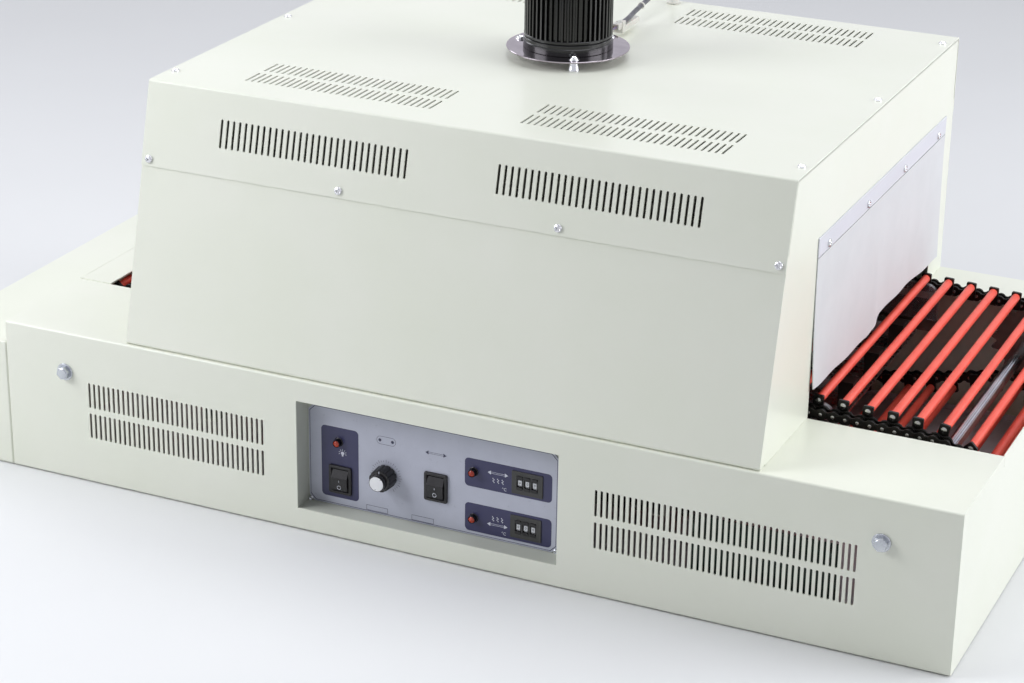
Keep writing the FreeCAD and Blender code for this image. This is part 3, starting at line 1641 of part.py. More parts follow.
def main():
    """Build every piece and write it to its file."""
    os.makedirs("parts", exist_ok=True)
    hood_left_wall, hood_right_wall = hood_sides()
    gap = touch_gap
    nodes = {
        "base_front_cover": base_front_cover(),
        "base_rear_cover": base_rear_cover(),
        "base_left_end": base_left_end(),
        "base_right_end": base_right_end(),
        "base_bottom_pan": base_bottom_pan(),
        "drive_end_housing": drive_end_housing(),
        "hood_cap": hood_cap(),
        "hood_front_cover": hood_front_cover(),
        "hood_rear_cover": hood_rear_cover(),
        "hood_left_side": hood_left_wall,
        "hood_right_side": hood_right_wall,
        "chamber_liner": chamber_liner(),
        "lower_reflector": lower_reflector(),
        "heater_tubes": heater_tubes(),
        "heater_holders": heater_holders(),
        "curtain_strips": curtain_strips(),
        "entry_curtain": curtain(hood_left - gap - curtain_thickness, hood_left - gap),
        "exit_curtain": curtain(hood_right + gap, hood_right + gap + curtain_thickness),
        "pan_heads": pan_heads(),
        "axle_bolts": axle_bolts(),
        "fan_flange": fan_flange(),
        "fan_standoffs": fan_standoffs(),
        "fan_motor_body": fan_motor_body(),
        "fan_motor_cap": fan_motor_cap(),
        "fan_shaft": fan_shaft(),
        "fan_impeller": fan_impeller(),
        "fan_connector": fan_connector(),
        "fan_cable": fan_leads() + [tube_along(cable_route(), cable_radius)],
        "cable_grommet": cable_grommet(),
        "conveyor_frame": conveyor_rails() + cross_bars(),
        "chain_guides": chain_guides(),
        "axles": axles(),
        "exit_sprockets": exit_sprockets(),
        "entry_sprockets": entry_sprockets(),
        "drive_tube": drive_tube(),
        "driven_sprocket": driven_sprocket(),
        "conveyor_chains": conveyor_chains(),
        "roller_tabs": roller_tabs(),
        "roller_rods": roller_rods(),
        "gearmotor": gearmotor(),
        "gearmotor_sprocket": gearmotor_sprocket(),
        "drive_chain": drive_chain(),
        "recess_box": recess_box(),
        "label_plate": label_plate(),
        "rocker_cases": [
            switch_case(power_rocker_x, power_rocker_z),
            switch_case(heater_rocker_x, heater_rocker_z),
        ],
        "power_rocker": rocker(power_rocker_x, power_rocker_z),
        "heater_rocker": rocker(heater_rocker_x, heater_rocker_z),
        "speed_knob": speed_knob(),
        "speed_potentiometer": speed_potentiometer(),
        "lamp_bezels": lamp_bezels(),
        "lamp_lenses": lamp_lenses(),
        "setter_housings": setter_housings(),
        "mains_gland": mains_gland(),
        "control_board": control_board(),
    }
    for name, solids in nodes.items():
        save(name, solids)
    for (x, z), level in zip(setter_places, ("upper", "lower")):
        for number, wheel_x in enumerate(setter_wheel_xs(x), 1):
            save(f"{level}_number_wheel_{number}", number_wheel(wheel_x, z))


main()
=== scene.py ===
"""Dress the infrared shrink tunnel's frame: finishes, folded sheets, belt, fan, curtains, panel."""
import logging
import math
from dataclasses import dataclass, field
from enum import Enum

import bmesh
import bpy
import numpy as np
from mathutils import Matrix, Vector


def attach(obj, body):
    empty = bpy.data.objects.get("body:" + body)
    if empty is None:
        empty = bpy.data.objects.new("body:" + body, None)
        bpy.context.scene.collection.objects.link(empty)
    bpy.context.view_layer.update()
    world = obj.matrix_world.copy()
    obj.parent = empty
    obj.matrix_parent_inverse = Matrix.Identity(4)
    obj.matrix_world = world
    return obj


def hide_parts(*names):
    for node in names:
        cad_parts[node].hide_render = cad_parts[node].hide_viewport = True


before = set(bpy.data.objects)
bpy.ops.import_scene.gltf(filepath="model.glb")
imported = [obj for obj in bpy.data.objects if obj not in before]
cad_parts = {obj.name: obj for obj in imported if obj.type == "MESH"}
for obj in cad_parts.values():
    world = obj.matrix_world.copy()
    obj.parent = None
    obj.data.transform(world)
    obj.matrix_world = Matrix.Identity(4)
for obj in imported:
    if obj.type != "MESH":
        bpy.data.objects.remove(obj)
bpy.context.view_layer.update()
MM = 0.001
LOG = logging.getLogger("shrink_tunnel")
Array = np.ndarray
Point = tuple[float, float, float]


class Pattern(Enum):
    """The relief and colour pattern of a finish."""

    ORANGE_PEEL = "orange peel of powder coat"
    BRUSHED = "fine lines along X"
    MOULDED = "fine grain of moulded plastic"
    WEAVE = "plain weave"
    MOTTLED = "soft mottling of plating or cast metal"
    OILED = "dark metal with an uneven film of oil"
    GLOSSY = "smooth with faint ripple"


@dataclass(frozen=True)
class Finish:
    """One surface finish, with colours as seen on a screen from 0 to 255."""

    name: str
    colour: tuple[int, int, int]
    second: tuple[int, int, int]
    roughness: float
    pattern: Pattern
    metallic: float = 0.0
    scale: float = 800.0
    relief: float = 0.00002
    roughness_spread: float = 0.08
    coat: float = 0.0
    transmission: float = 0.0
    subsurface: float = 0.0
    alpha: float = 1.0
    glow: float = 0.0

    def build(self) -> bpy.types.Material:
        """Make the material, or return it if it was made before.

        Returns:
            The material with its node tree.
        """
        label = f"finish_{self.name}"
        made = bpy.data.materials.get(label)
        if made is not None:
            return made
        material = bpy.data.materials.new(label)
        material.use_nodes = True
        FinishNodes(material, self).wire()
        return material


class FinishNodes:
    """Wires the node tree of one finish."""

    def __init__(self, material: bpy.types.Material, finish: Finish) -> None:
        """Start from an emptied node tree."""
        self.tree = material.node_tree
        self.tree.nodes.clear()
        self.finish = finish

    def add(self, kind: str, **settings: object) -> bpy.types.Node:
        """Add a node.

        Args:
            kind: The node's type name.
            settings: Attributes to set on it.

        Returns:
            The node.
        """
        node = self.tree.nodes.new(kind)
        for key, value in settings.items():
            setattr(node, key, value)
        return node

    def link(self, start: bpy.types.NodeSocket, end: bpy.types.NodeSocket) -> None:
        """Join two sockets."""
        self.tree.links.new(start, end)

    def noise(self, scale: float, detail: float, stretch: Point = (1.0, 1.0, 1.0)) -> bpy.types.Node:
        """Add a noise texture in object coordinates.

        Args:
            scale: Features per metre.
            detail: Octaves.
            stretch: Factor along each axis.

        Returns:
            The noise node.
        """
        place = self.add("ShaderNodeTexCoord")
        mapping = self.add("ShaderNodeMapping")
        mapping.inputs["Scale"].default_value = stretch
        noise = self.add("ShaderNodeTexNoise")
        noise.inputs["Scale"].default_value = scale
        noise.inputs["Detail"].default_value = detail
        self.link(place.outputs["Object"], mapping.inputs["Vector"])
        self.link(mapping.outputs["Vector"], noise.inputs["Vector"])
        return noise

    def relief_source(self) -> bpy.types.NodeSocket:
        """Give the height pattern that suits the finish.

        Returns:
            The socket that carries the height.
        """
        finish = self.finish
        if finish.pattern is Pattern.BRUSHED:
            return self.noise(finish.scale, 3.0, (0.03, 1.0, 1.0)).outputs["Fac"]
        if finish.pattern is Pattern.WEAVE:
            return self.weave(finish.scale)
        if finish.pattern is Pattern.MOULDED:
            return self.noise(finish.scale, 4.0).outputs["Fac"]
        if finish.pattern is Pattern.OILED:
            return self.noise(finish.scale, 5.0).outputs["Fac"]
        return self.noise(finish.scale, 1.5).outputs["Fac"]

    def weave(self, scale: float) -> bpy.types.NodeSocket:
        """Multiply two sets of bands into a plain weave.

        Args:
            scale: Threads per metre.

        Returns:
            The socket that carries the weave's height.
        """
        place = self.add("ShaderNodeTexCoord")
        bands = []
        for direction in ("Y", "Z"):
            wave = self.add("ShaderNodeTexWave", wave_type="BANDS", bands_direction=direction)
            wave.inputs["Scale"].default_value = scale
            wave.inputs["Distortion"].default_value = 0.4
            self.link(place.outputs["Object"], wave.inputs["Vector"])
            bands.append(wave.outputs["Fac"])
        product = self.add("ShaderNodeMath", operation="MULTIPLY")
        self.link(bands[0], product.inputs[0])
        self.link(bands[1], product.inputs[1])
        return product.outputs["Value"]

    def wire(self) -> None:
        """Build colour variation, roughness variation and relief into one surface shader."""
        finish = self.finish
        shader = self.add("ShaderNodeBsdfPrincipled")
        output = self.add("ShaderNodeOutputMaterial")
        self.link(shader.outputs["BSDF"], output.inputs["Surface"])
        clouds = self.noise(9.0 if finish.pattern is Pattern.ORANGE_PEEL else finish.scale * 0.07, 3.0)
        ramp = self.add("ShaderNodeValToRGB")
        ramp.color_ramp.elements[0].position = 0.3
        ramp.color_ramp.elements[1].position = 0.7
        ramp.color_ramp.elements[0].color = linear(finish.colour)
        ramp.color_ramp.elements[1].color = linear(finish.second)
        self.link(clouds.outputs["Fac"], ramp.inputs["Fac"])
        self.link(ramp.outputs["Color"], shader.inputs["Base Color"])
        span = self.add("ShaderNodeMapRange")
        span.inputs["To Min"].default_value = max(0.02, finish.roughness - finish.roughness_spread)
        span.inputs["To Max"].default_value = finish.roughness + finish.roughness_spread
        self.link(self.noise(finish.scale * 0.2, 4.0).outputs["Fac"], span.inputs["Value"])
        self.link(span.outputs["Result"], shader.inputs["Roughness"])
        bump = self.add("ShaderNodeBump")
        bump.inputs["Strength"].default_value = 1.0
        bump.inputs["Distance"].default_value = finish.relief
        self.link(self.relief_source(), bump.inputs["Height"])
        self.link(bump.outputs["Normal"], shader.inputs["Normal"])
        shader.inputs["Metallic"].default_value = finish.metallic
        shader.inputs["Coat Weight"].default_value = finish.coat
        shader.inputs["Coat Roughness"].default_value = 0.12
        shader.inputs["Transmission Weight"].default_value = finish.transmission
        shader.inputs["Subsurface Weight"].default_value = finish.subsurface
        shader.inputs["Subsurface Radius"].default_value = (0.004, 0.003, 0.003)
        shader.inputs["Subsurface Scale"].default_value = 1.0
        shader.inputs["Alpha"].default_value = finish.alpha
        if finish.glow > 0:
            shader.inputs["Emission Color"].default_value = linear(finish.second)
            shader.inputs["Emission Strength"].default_value = finish.glow


def linear(colour: tuple[int, int, int]) -> tuple[float, float, float, float]:
    """Turn a screen colour into the linear colour that the shader takes.

    Args:
        colour: Red, green and blue from 0 to 255.

    Returns:
        Linear red, green, blue and alpha from 0 to 1.
    """
    share = np.array(colour) / 255.0
    low = share / 12.92
    high = ((share + 0.055) / 1.055) ** 2.4
    red, green, blue = np.where(share <= 0.04045, low, high)
    return float(red), float(green), float(blue), 1.0


IVORY = Finish(
    "ivory_powder_coat", (225, 228, 213), (228, 230, 217), 0.36, Pattern.ORANGE_PEEL,
    scale=620.0, relief=0.000022, roughness_spread=0.05, coat=0.12,
)
BRIGHT_SHEET = Finish("bright_sheet", (196, 196, 194), (176, 176, 172), 0.28, Pattern.BRUSHED, metallic=1.0)
BARE_STEEL = Finish(
    "bare_steel", (128, 126, 120), (96, 92, 86), 0.42, Pattern.MOTTLED, metallic=0.85, scale=400.0
)
CHROME = Finish(
    "chrome", (226, 227, 228), (208, 209, 212), 0.10, Pattern.GLOSSY, metallic=1.0, roughness_spread=0.05
)
AXLE_CHROME = Finish(
    "axle_chrome", (214, 218, 224), (170, 176, 186), 0.14, Pattern.BRUSHED, metallic=1.0, scale=500.0,
)
ZINC = Finish(
    "zinc_plating", (214, 217, 219), (180, 184, 190), 0.26, Pattern.MOTTLED, metallic=1.0, scale=500.0,
)
MOTOR_BLACK = Finish(
    "motor_black_enamel", (7, 7, 7), (11, 11, 11), 0.2, Pattern.GLOSSY,
    scale=300.0, relief=0.00003, coat=0.1,
)
FLANGE_MIRROR = Finish(
    "flange_mirror", (178, 170, 176), (160, 152, 159), 0.08, Pattern.GLOSSY, metallic=1.0,
    roughness_spread=0.05,
)
CHAIN_BLACK = Finish(
    "chain_black_oxide", (26, 25, 24), (44, 42, 38), 0.34, Pattern.OILED,
    metallic=0.7, scale=700.0, relief=0.00006, roughness_spread=0.14,
)
CORAL = Finish(
    "coral_silicone", (241, 98, 79), (231, 84, 66), 0.42, Pattern.MOULDED,
    scale=900.0, relief=0.00003, subsurface=0.12,
)
PIN_STEEL = Finish(
    "pin_steel", (188, 188, 184), (150, 150, 146), 0.24, Pattern.MOTTLED, metallic=1.0, scale=900.0
)
CLOTH = Finish(
    "frosted_curtain", (204, 206, 207), (209, 211, 212), 0.6, Pattern.WEAVE,
    scale=330.0, relief=0.00002,
)
STRIP_CREAM = Finish(
    "strip_cream", (210, 211, 217), (206, 207, 213), 0.5, Pattern.ORANGE_PEEL, scale=620.0,
)
GUIDE_PLASTIC = Finish(
    "guide_plastic", (226, 226, 230), (216, 216, 220), 0.2, Pattern.MOULDED,
    scale=400.0, transmission=0.82, roughness_spread=0.04,
)
QUARTZ = Finish("quartz_tube", (226, 226, 228), (210, 211, 214), 0.12, Pattern.GLOSSY, transmission=0.6)
RUBBER = Finish("black_rubber", (24, 24, 25), (32, 32, 33), 0.62, Pattern.MOULDED, scale=900.0)
CABLE_GREY = Finish("cable_grey_sheath", (64, 64, 68), (104, 104, 110), 0.32, Pattern.MOULDED, scale=2600.0)
LEAD_PURPLE = Finish("lead_purple", (116, 104, 128), (104, 92, 116), 0.42, Pattern.MOULDED)
LEAD_BROWN = Finish("lead_brown", (104, 78, 60), (92, 68, 52), 0.42, Pattern.MOULDED)
NATURAL_NYLON = Finish(
    "natural_nylon", (232, 230, 222), (222, 220, 210), 0.3, Pattern.MOULDED, transmission=0.25,
    subsurface=0.2,
)
LABEL_GREY = Finish(
    "label_grey", (186, 189, 202), (181, 184, 197), 0.3, Pattern.BRUSHED, scale=900.0, relief=0.000006,
)
PAN_GREY = Finish(
    "galvanised_pan", (216, 214, 217), (198, 196, 200), 0.5, Pattern.MOTTLED, metallic=0.2, scale=300.0
)
# Dark steel for the heater holders, darkened to stand for painted shade inside the chamber.
HOLDER_PAINTED_SHADE = Finish(
    "holder_painted_shade", (66, 62, 58), (50, 47, 44), 0.5, Pattern.MOTTLED, metallic=0.5, scale=400.0
)
# Ivory paint darkened to stand for painted shade inside the panel recess; the real box likely wears the same
# ivory paint.
RECESS_PAINTED_SHADE = Finish(
    "recess_painted_shade", (194, 197, 186), (188, 191, 180), 0.4, Pattern.ORANGE_PEEL, scale=620.0
)
LAMP_BLACK = Finish("lamp_black_chrome", (58, 57, 59), (44, 43, 45), 0.16, Pattern.GLOSSY, metallic=0.9)
NAVY = Finish("navy_print", (58, 58, 92), (54, 54, 87), 0.34, Pattern.MOULDED, relief=0.000006)
PRINT_DARK = Finish("dark_print", (52, 52, 78), (58, 58, 84), 0.4, Pattern.MOULDED, relief=0.000006)
PRINT_WHITE = Finish("white_print", (214, 216, 226), (206, 208, 218), 0.4, Pattern.MOULDED, relief=0.000006)
SWITCH_BLACK = Finish("switch_black", (30, 29, 30), (38, 36, 36), 0.42, Pattern.MOULDED, scale=900.0)
ROCKER_BLACK = Finish(
    "rocker_black", (24, 23, 24), (30, 29, 30), 0.24, Pattern.MOULDED, scale=900.0, relief=0.00001,
)
KNOB_CAP = Finish(
    "knob_cap", (232, 233, 234), (222, 223, 225), 0.3, Pattern.BRUSHED, metallic=0.6, scale=900.0
)
LENS_RED = Finish(
    "lens_red", (150, 30, 16), (196, 70, 44), 0.12, Pattern.GLOSSY, transmission=0.35, glow=0.06,
)
SETTER_GREY = Finish("setter_dark_grey", (62, 62, 60), (56, 56, 54), 0.4, Pattern.MOULDED, scale=900.0)
WHEEL_BLACK = Finish("wheel_black", (22, 21, 22), (30, 29, 29), 0.35, Pattern.MOULDED, scale=900.0)
DIGIT_WHITE = Finish("digit_white", (214, 216, 219), (206, 208, 211), 0.4, Pattern.MOULDED)
GREY_ENAMEL = Finish(
    "grey_enamel", (92, 94, 96), (84, 86, 88), 0.35, Pattern.ORANGE_PEEL, scale=500.0, coat=0.2
)
BOARD_GREEN = Finish("board_green", (26, 54, 40), (22, 46, 34), 0.4, Pattern.MOULDED)
FLOOR_WHITE = Finish("studio_floor", (221, 222, 222), (219, 220, 220), 0.8, Pattern.MOULDED, scale=40.0)


def ring_faces(rows: int, columns: int, wrap_rows: bool, wrap_columns: bool) -> Array:
    """List the quads of a grid of vertices stored row by row.

    Args:
        rows: Rows of vertices.
        columns: Vertices in a row.
        wrap_rows: Join the last row to the first.
        wrap_columns: Join the last column to the first.

    Returns:
        An array of faces with four vertex numbers each.
    """
    row = np.arange(rows if wrap_rows else rows - 1)[:, None]
    column = np.arange(columns if wrap_columns else columns - 1)[None, :]
    next_row = (row + 1) % rows
    next_column = (column + 1) % columns
    corners = (
        row * columns + column, row * columns + next_column,
        next_row * columns + next_column, next_row * columns + column,
    )
    size = (len(row), column.shape[1])
    return np.stack([np.broadcast_to(part, size) for part in corners], -1).reshape(-1, 4)


def rounded_outline(points: Array, radii: float | Array, steps: int = 5) -> Array:
    """Round the corners of a closed flat polygon.

    Args:
        points: Corners, two numbers each.
        radii: One radius for all corners, or one for each.
        steps: Straight pieces in a corner's arc.

    Returns:
        The rounded outline's points.
    """
    corners = np.asarray(points, float)
    sizes = np.broadcast_to(np.asarray(radii, float), len(corners))
    before = np.roll(corners, 1, 0) - corners
    after = np.roll(corners, -1, 0) - corners
    before /= np.linalg.norm(before, axis=1)[:, None]
    after /= np.linalg.norm(after, axis=1)[:, None]
    half = np.arccos(np.clip((before * after).sum(1), -1, 1)) / 2
    outline = []
    for corner, back, ahead, size, angle in zip(corners, before, after, sizes, half):
        if size <= 0 or angle > math.pi / 2 - 1e-4:
            outline.append(corner[None, :])
            continue
        reach = size / math.tan(angle)
        middle = corner + (back + ahead) / np.linalg.norm(back + ahead) * size / math.sin(angle)
        first = corner + back * reach - middle
        last = corner + ahead * reach - middle
        turn = math.atan2(first[0] * last[1] - first[1] * last[0], first @ last)
        angles = np.linspace(0.0, turn, steps + 1)
        cosine, sine = np.cos(angles), np.sin(angles)
        outline.append(
            middle + np.stack([first[0] * cosine - first[1] * sine, first[0] * sine + first[1] * cosine], 1)
        )
    return np.vstack(outline)


def rectangle(
    low: tuple[float, float], high: tuple[float, float], radius: float = 0.0, steps: int = 5,
) -> Array:
    """Outline a rectangle with rounded corners.

    Args:
        low: Its least coordinates.
        high: Its greatest coordinates.
        radius: Corner radius.
        steps: Straight pieces in a corner's arc.

    Returns:
        The outline's points.
    """
    corners = [(low[0], low[1]), (high[0], low[1]), (high[0], high[1]), (low[0], high[1])]
    return rounded_outline(np.array(corners), radius, steps)


def circle(centre: tuple[float, float], radius: float, count: int = 32, start: float = 0.0) -> Array:
    """Outline a circle.

    Args:
        centre: Its centre.
        radius: Its radius.
        count: Points on it.
        start: Angle of the first point in radians.

    Returns:
        The outline's points.
    """
    angles = start + np.arange(count) * 2 * math.pi / count
    return np.array(centre) + radius * np.stack([np.cos(angles), np.sin(angles)], 1)


class Axis(Enum):
    """The direction along which a flat outline is extruded or about which a profile turns."""

    X = 0
    Y = 1
    Z = 2


def spatial(flat: Array, level: float | Array, axis: Axis) -> Array:
    """Put flat points in space.

    Args:
        flat: Points with two numbers each: YZ for the X axis, XZ for Y, and XY for Z.
        level: Their place along the axis.
        axis: The axis square to the flat points.

    Returns:
        Points with three numbers each.
    """
    return np.insert(flat, axis.value, level, axis=-1)


@dataclass
class Solid:
    """The mesh of one piece, filled shape by shape in millimetres."""

    name: str
    blocks: list[Array] = field(default_factory=list)
    faces: list[tuple[int, ...]] = field(default_factory=list)
    tints: list[int] = field(default_factory=list)
    count: int = 0

    def add(self, points: Array, faces: list[Array], tint: int = 0) -> "Solid":
        """Add one shape, joining its own vertices that lie in one place.

        Args:
            points: Vertices.
            faces: Arrays of faces, each array with one number of vertices per face.
            tint: Which of the piece's finishes it takes.

        Returns:
            This piece.
        """
        unique, back = np.unique(np.round(points, 5), axis=0, return_inverse=True)
        back = back.reshape(-1)
        for group in faces:
            for face in back[np.asarray(group)]:
                keep = face[face != np.roll(face, 1)]
                if len(keep) > 2:
                    self.faces.append(tuple(int(v) + self.count for v in keep))
                    self.tints.append(tint)
        self.blocks.append(unique)
        self.count += len(unique)
        return self

    def loft(self, rings: Array, tint: int = 0, caps: tuple[bool, bool] = (True, True)) -> "Solid":
        """Add a shape skinned over closed rings of equal size.

        Args:
            rings: Array of rings, each with the same number of points.
            tint: Which of the piece's finishes it takes.
            caps: Whether the first and the last ring are closed.

        Returns:
            This piece.
        """
        rows, columns = rings.shape[:2]
        faces = [ring_faces(rows, columns, False, True)]
        if caps[0]:
            faces.append(np.arange(columns)[None, ::-1])
        if caps[1]:
            faces.append((rows - 1) * columns + np.arange(columns)[None, :])
        return self.add(rings.reshape(-1, 3), faces, tint)

    def prism(self, outline: Array, start: float, end: float, axis: Axis, tint: int = 0) -> "Solid":
        """Add a flat outline extruded along an axis.

        Args:
            outline: Flat points.
            start: Where the extrusion starts.
            end: Where it ends.
            axis: Its direction.
            tint: Which of the piece's finishes it takes.

        Returns:
            This piece.
        """
        rings = np.stack([spatial(outline, level, axis) for level in (start, end)])
        return self.loft(rings, tint)

    def block(self, low: Point, high: Point, tint: int = 0) -> "Solid":
        """Add a box from its least and greatest corners."""
        return self.prism(rectangle(low[:2], high[:2]), low[2], high[2], Axis.Z, tint)

    def turned(
        self, profile: Array, centre: Point, axis: Axis, count: int = 48, tint: int = 0,
        radial: Array | None = None,
    ) -> "Solid":
        """Add a profile turned about an axis.

        Args:
            profile: Radius and place along the axis, point by point; closed if it starts and ends at radius 0.
            centre: A point on the axis, from which places along it count.
            axis: The axis.
            count: Steps round the axis.
            tint: Which of the piece's finishes it takes.
            radial: Factor on the radius for each step, or none.

        Returns:
            This piece.
        """
        shape = np.asarray(profile, float)
        angles = np.arange(count) * 2 * math.pi / count
        factor = np.ones(count) if radial is None else radial
        radius = shape[None, :, 0] * factor[:, None]
        flat = np.stack([radius * np.cos(angles)[:, None], radius * np.sin(angles)[:, None]], -1)
        rings = np.insert(flat, axis.value, np.broadcast_to(shape[:, 1], radius.shape), axis=-1)
        points = rings.reshape(-1, 3) + np.array(centre)
        return self.add(points, [ring_faces(count, len(shape), True, False)], tint)

    def copies(self, source: "Solid", places: Array, tint: int | None = None) -> "Solid":
        """Add another piece's mesh once for each placing matrix.

        Args:
            source: The mesh to repeat.
            places: Array of 4 by 4 matrices.
            tint: One finish for all of it, or none to keep the source's own.

        Returns:
            This piece.
        """
        points = source.points()
        moved = np.einsum("kij,nj->kni", places[:, :3, :3], points) + places[:, None, :3, 3]
        for start in range(len(places)):
            shift = self.count + start * len(points)
            self.faces.extend(tuple(v + shift for v in face) for face in source.faces)
            self.tints.extend(source.tints if tint is None else [tint] * len(source.faces))
        self.blocks.append(moved.reshape(-1, 3))
        self.count += len(places) * len(points)
        return self

    def points(self) -> Array:
        """Give all vertices in one array."""
        return np.vstack(self.blocks)

    def emit(
        self, finishes: list[Finish], slot: str, replaces: tuple[str, ...] = (), body: str = "machine",
        bevel: float = 0.3, segments: int = 2, outward: bool = True,
    ) -> bpy.types.Object:
        """Make the object, with rounded edges, riding on a body of the frame.

        Args:
            finishes: Its finishes, by tint number.
            slot: Not used.
            replaces: CAD nodes it stands for.
            body: The body it moves with.
            bevel: Width of the rounded edges in millimetres, or 0.
            segments: Faces across a rounded edge.
            outward: Whether all faces are turned outwards first.

        Returns:
            The object.
        """
        mesh = bpy.data.meshes.new(self.name)
        mesh.from_pydata((self.points() * MM).tolist(), [], self.faces)
        mesh.polygons.foreach_set("material_index", np.array(self.tints, dtype=np.int32))
        if outward:
            turn_outwards(mesh)
        return place_mesh(mesh, finishes, replaces, body, bevel, segments)


def turn_outwards(mesh: bpy.types.Mesh) -> None:
    """Turn every closed shell's faces outwards."""
    work = bmesh.new()
    work.from_mesh(mesh)
    bmesh.ops.recalc_face_normals(work, faces=work.faces)
    work.to_mesh(mesh)
    work.free()


def place_mesh(
    mesh: bpy.types.Mesh, finishes: list[Finish], replaces: tuple[str, ...], body: str,
    bevel: float, segments: int,
) -> bpy.types.Object:
    """Turn a mesh in metres into a finished piece of the model.

    Args:
        mesh: The mesh.
        finishes: Its finishes, by material index.
        replaces: CAD nodes it stands for.
        body: The body it moves with.
        bevel: Width of the rounded edges in millimetres, or 0.
        segments: Faces across a rounded edge.

    Returns:
        The object.
    """
    for finish in finishes:
        mesh.materials.append(finish.build())
    mesh.shade_smooth()
    mesh.set_sharp_from_angle(angle=math.radians(32))
    piece = bpy.data.objects.new(mesh.name, mesh)
    bpy.context.scene.collection.objects.link(piece)
    if bevel > 0:
        edge = piece.modifiers.new("rounded_edges", "BEVEL")
        edge.width = bevel * MM
        edge.segments = segments
        edge.limit_method = "ANGLE"
        edge.angle_limit = math.radians(32)
        edge.miter_outer = "MITER_ARC"
        flats = piece.modifiers.new("flat_faces_stay_flat", "WEIGHTED_NORMAL")
        flats.keep_sharp = True
    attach(piece, body)
    if replaces:
        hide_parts(*replaces)
    return piece


class Section:
    """The outer line of a folded sheet's cross-section, with rounded bends."""

    def __init__(self, corners: list[tuple[float, float]], radius: float, steps: int = 5) -> None:
        """Round the inner corners of an open line.

        Args:
            corners: The line's corners.
            radius: Outer bend radius.
            steps: Straight pieces in a bend.
        """
        radii = np.full(len(corners), radius)
        radii[0] = radii[-1] = 0.0
        self.line = rounded_outline(np.array(corners, float), radii, steps)
        sides = np.linalg.norm(np.diff(self.line, axis=0), axis=1)
        self.reach = np.concatenate([[0.0], np.cumsum(sides)])

    def developed(self, point: tuple[float, float]) -> float:
        """Find how far along the unfolded line a point of the line lies.

        Args:
            point: The point in the plane of the cross-section.

        Returns:
            The distance from the line's start.
        """
        starts, sides = self.line[:-1], np.diff(self.line, axis=0)
        lengths = np.linalg.norm(sides, axis=1)
        share = np.clip(((np.array(point) - starts) * sides).sum(1) / lengths**2, 0.0, 1.0)
        gaps = np.linalg.norm(starts + sides * share[:, None] - np.array(point), axis=1)
        nearest = int(np.argmin(gaps))
        return float(self.reach[nearest] + share[nearest] * lengths[nearest])

    def folded(self, flat: Array, run: Axis, depth: float = 0.0) -> Array:
        """Fold flat points, place along the bends and developed distance, into space.

        Args:
            flat: The flat points.
            run: The axis along the bends.
            depth: Distance from the outer face into the sheet.

        Returns:
            Points in space.
        """
        sides = np.diff(self.line, axis=0)
        sides /= np.linalg.norm(sides, axis=1)[:, None]
        before = np.vstack([sides[:1], sides])
        after = np.vstack([sides, sides[-1:]])
        miter = (before + after) / (1 + (before * after).sum(1))[:, None]
        inward = np.stack([miter[:, 1], -miter[:, 0]], 1) * (-1 if run is Axis.Y else 1)
        line = self.line + inward * depth
        across = np.stack([np.interp(flat[:, 1], self.reach, line[:, axis]) for axis in (0, 1)], 1)
        return np.insert(across, run.value, flat[:, 0], axis=1)


def filled(name: str, outlines: list[Array]) -> bpy.types.Mesh:
    """Fill an outer outline with holes by triangles.

    Args:
        name: Name of the mesh.
        outlines: The outer outline and then the holes.

    Returns:
        The flat mesh at Z 0.
    """
    curve = bpy.data.curves.new(name, "CURVE")
    curve.dimensions = "2D"
    curve.fill_mode = "BOTH"
    for outline in outlines:
        spline = curve.splines.new("POLY")
        spline.points.add(len(outline) - 1)
        padded = np.concatenate([outline, np.zeros((len(outline), 1)), np.ones((len(outline), 1))], 1)
        spline.points.foreach_set("co", padded.ravel())
        spline.use_cyclic_u = True
    holder = bpy.data.objects.new(name, curve)
    mesh = bpy.data.meshes.new_from_object(holder)
    bpy.data.objects.remove(holder)
    bpy.data.curves.remove(curve)
    mesh.name = name
    return mesh


@dataclass(frozen=True)
class SheetCut:
    """A folded sheet: its section, its ends along the bends, its openings and its thickness."""

    name: str
    section: Section
    left: float
    right: float
    holes: tuple[Array, ...] = ()
    thickness: float = 1.5
    edge: float = 0.35
    run: Axis = Axis.X

    def emit(self, finish: Finish, slot: str, replaces: tuple[str, ...]) -> bpy.types.Object:
        """Cut, fold and thicken the sheet.

        Args:
            finish: Its finish.
            slot: Passed on, and not used.
            replaces: CAD nodes it stands for.

        Returns:
            The object.
        """
        outer = rectangle((self.left, 0.0), (self.right, float(self.section.reach[-1])), 1.0, 3)
        mesh = filled(self.name, [outer, *self.holes])
        work = bmesh.new()
        work.from_mesh(mesh)
        for level in self.section.reach[1:-1]:
            geometry = work.verts[:] + work.edges[:] + work.faces[:]
            bmesh.ops.bisect_plane(work, geom=geometry, plane_co=(0, float(level), 0), plane_no=(0, 1, 0))
        work.to_mesh(mesh)
        work.free()
        flat = flat_points(mesh)
        faces = [tuple(polygon.vertices) for polygon in mesh.polygons]
        bpy.data.meshes.remove(mesh)
        sides = [self.section.folded(flat, self.run, depth) for depth in (0.0, self.thickness)]
        return thick(self.name, sides[0], sides[1], faces).emit([finish], slot, replaces, bevel=self.edge)


def flat_points(mesh: bpy.types.Mesh) -> Array:
    """Read a flat mesh's points.

    Args:
        mesh: The mesh.

    Returns:
        Two numbers for each vertex.
    """
    flat = np.empty(len(mesh.vertices) * 3)
    mesh.vertices.foreach_get("co", flat)
    return flat.reshape(-1, 3)[:, :2]


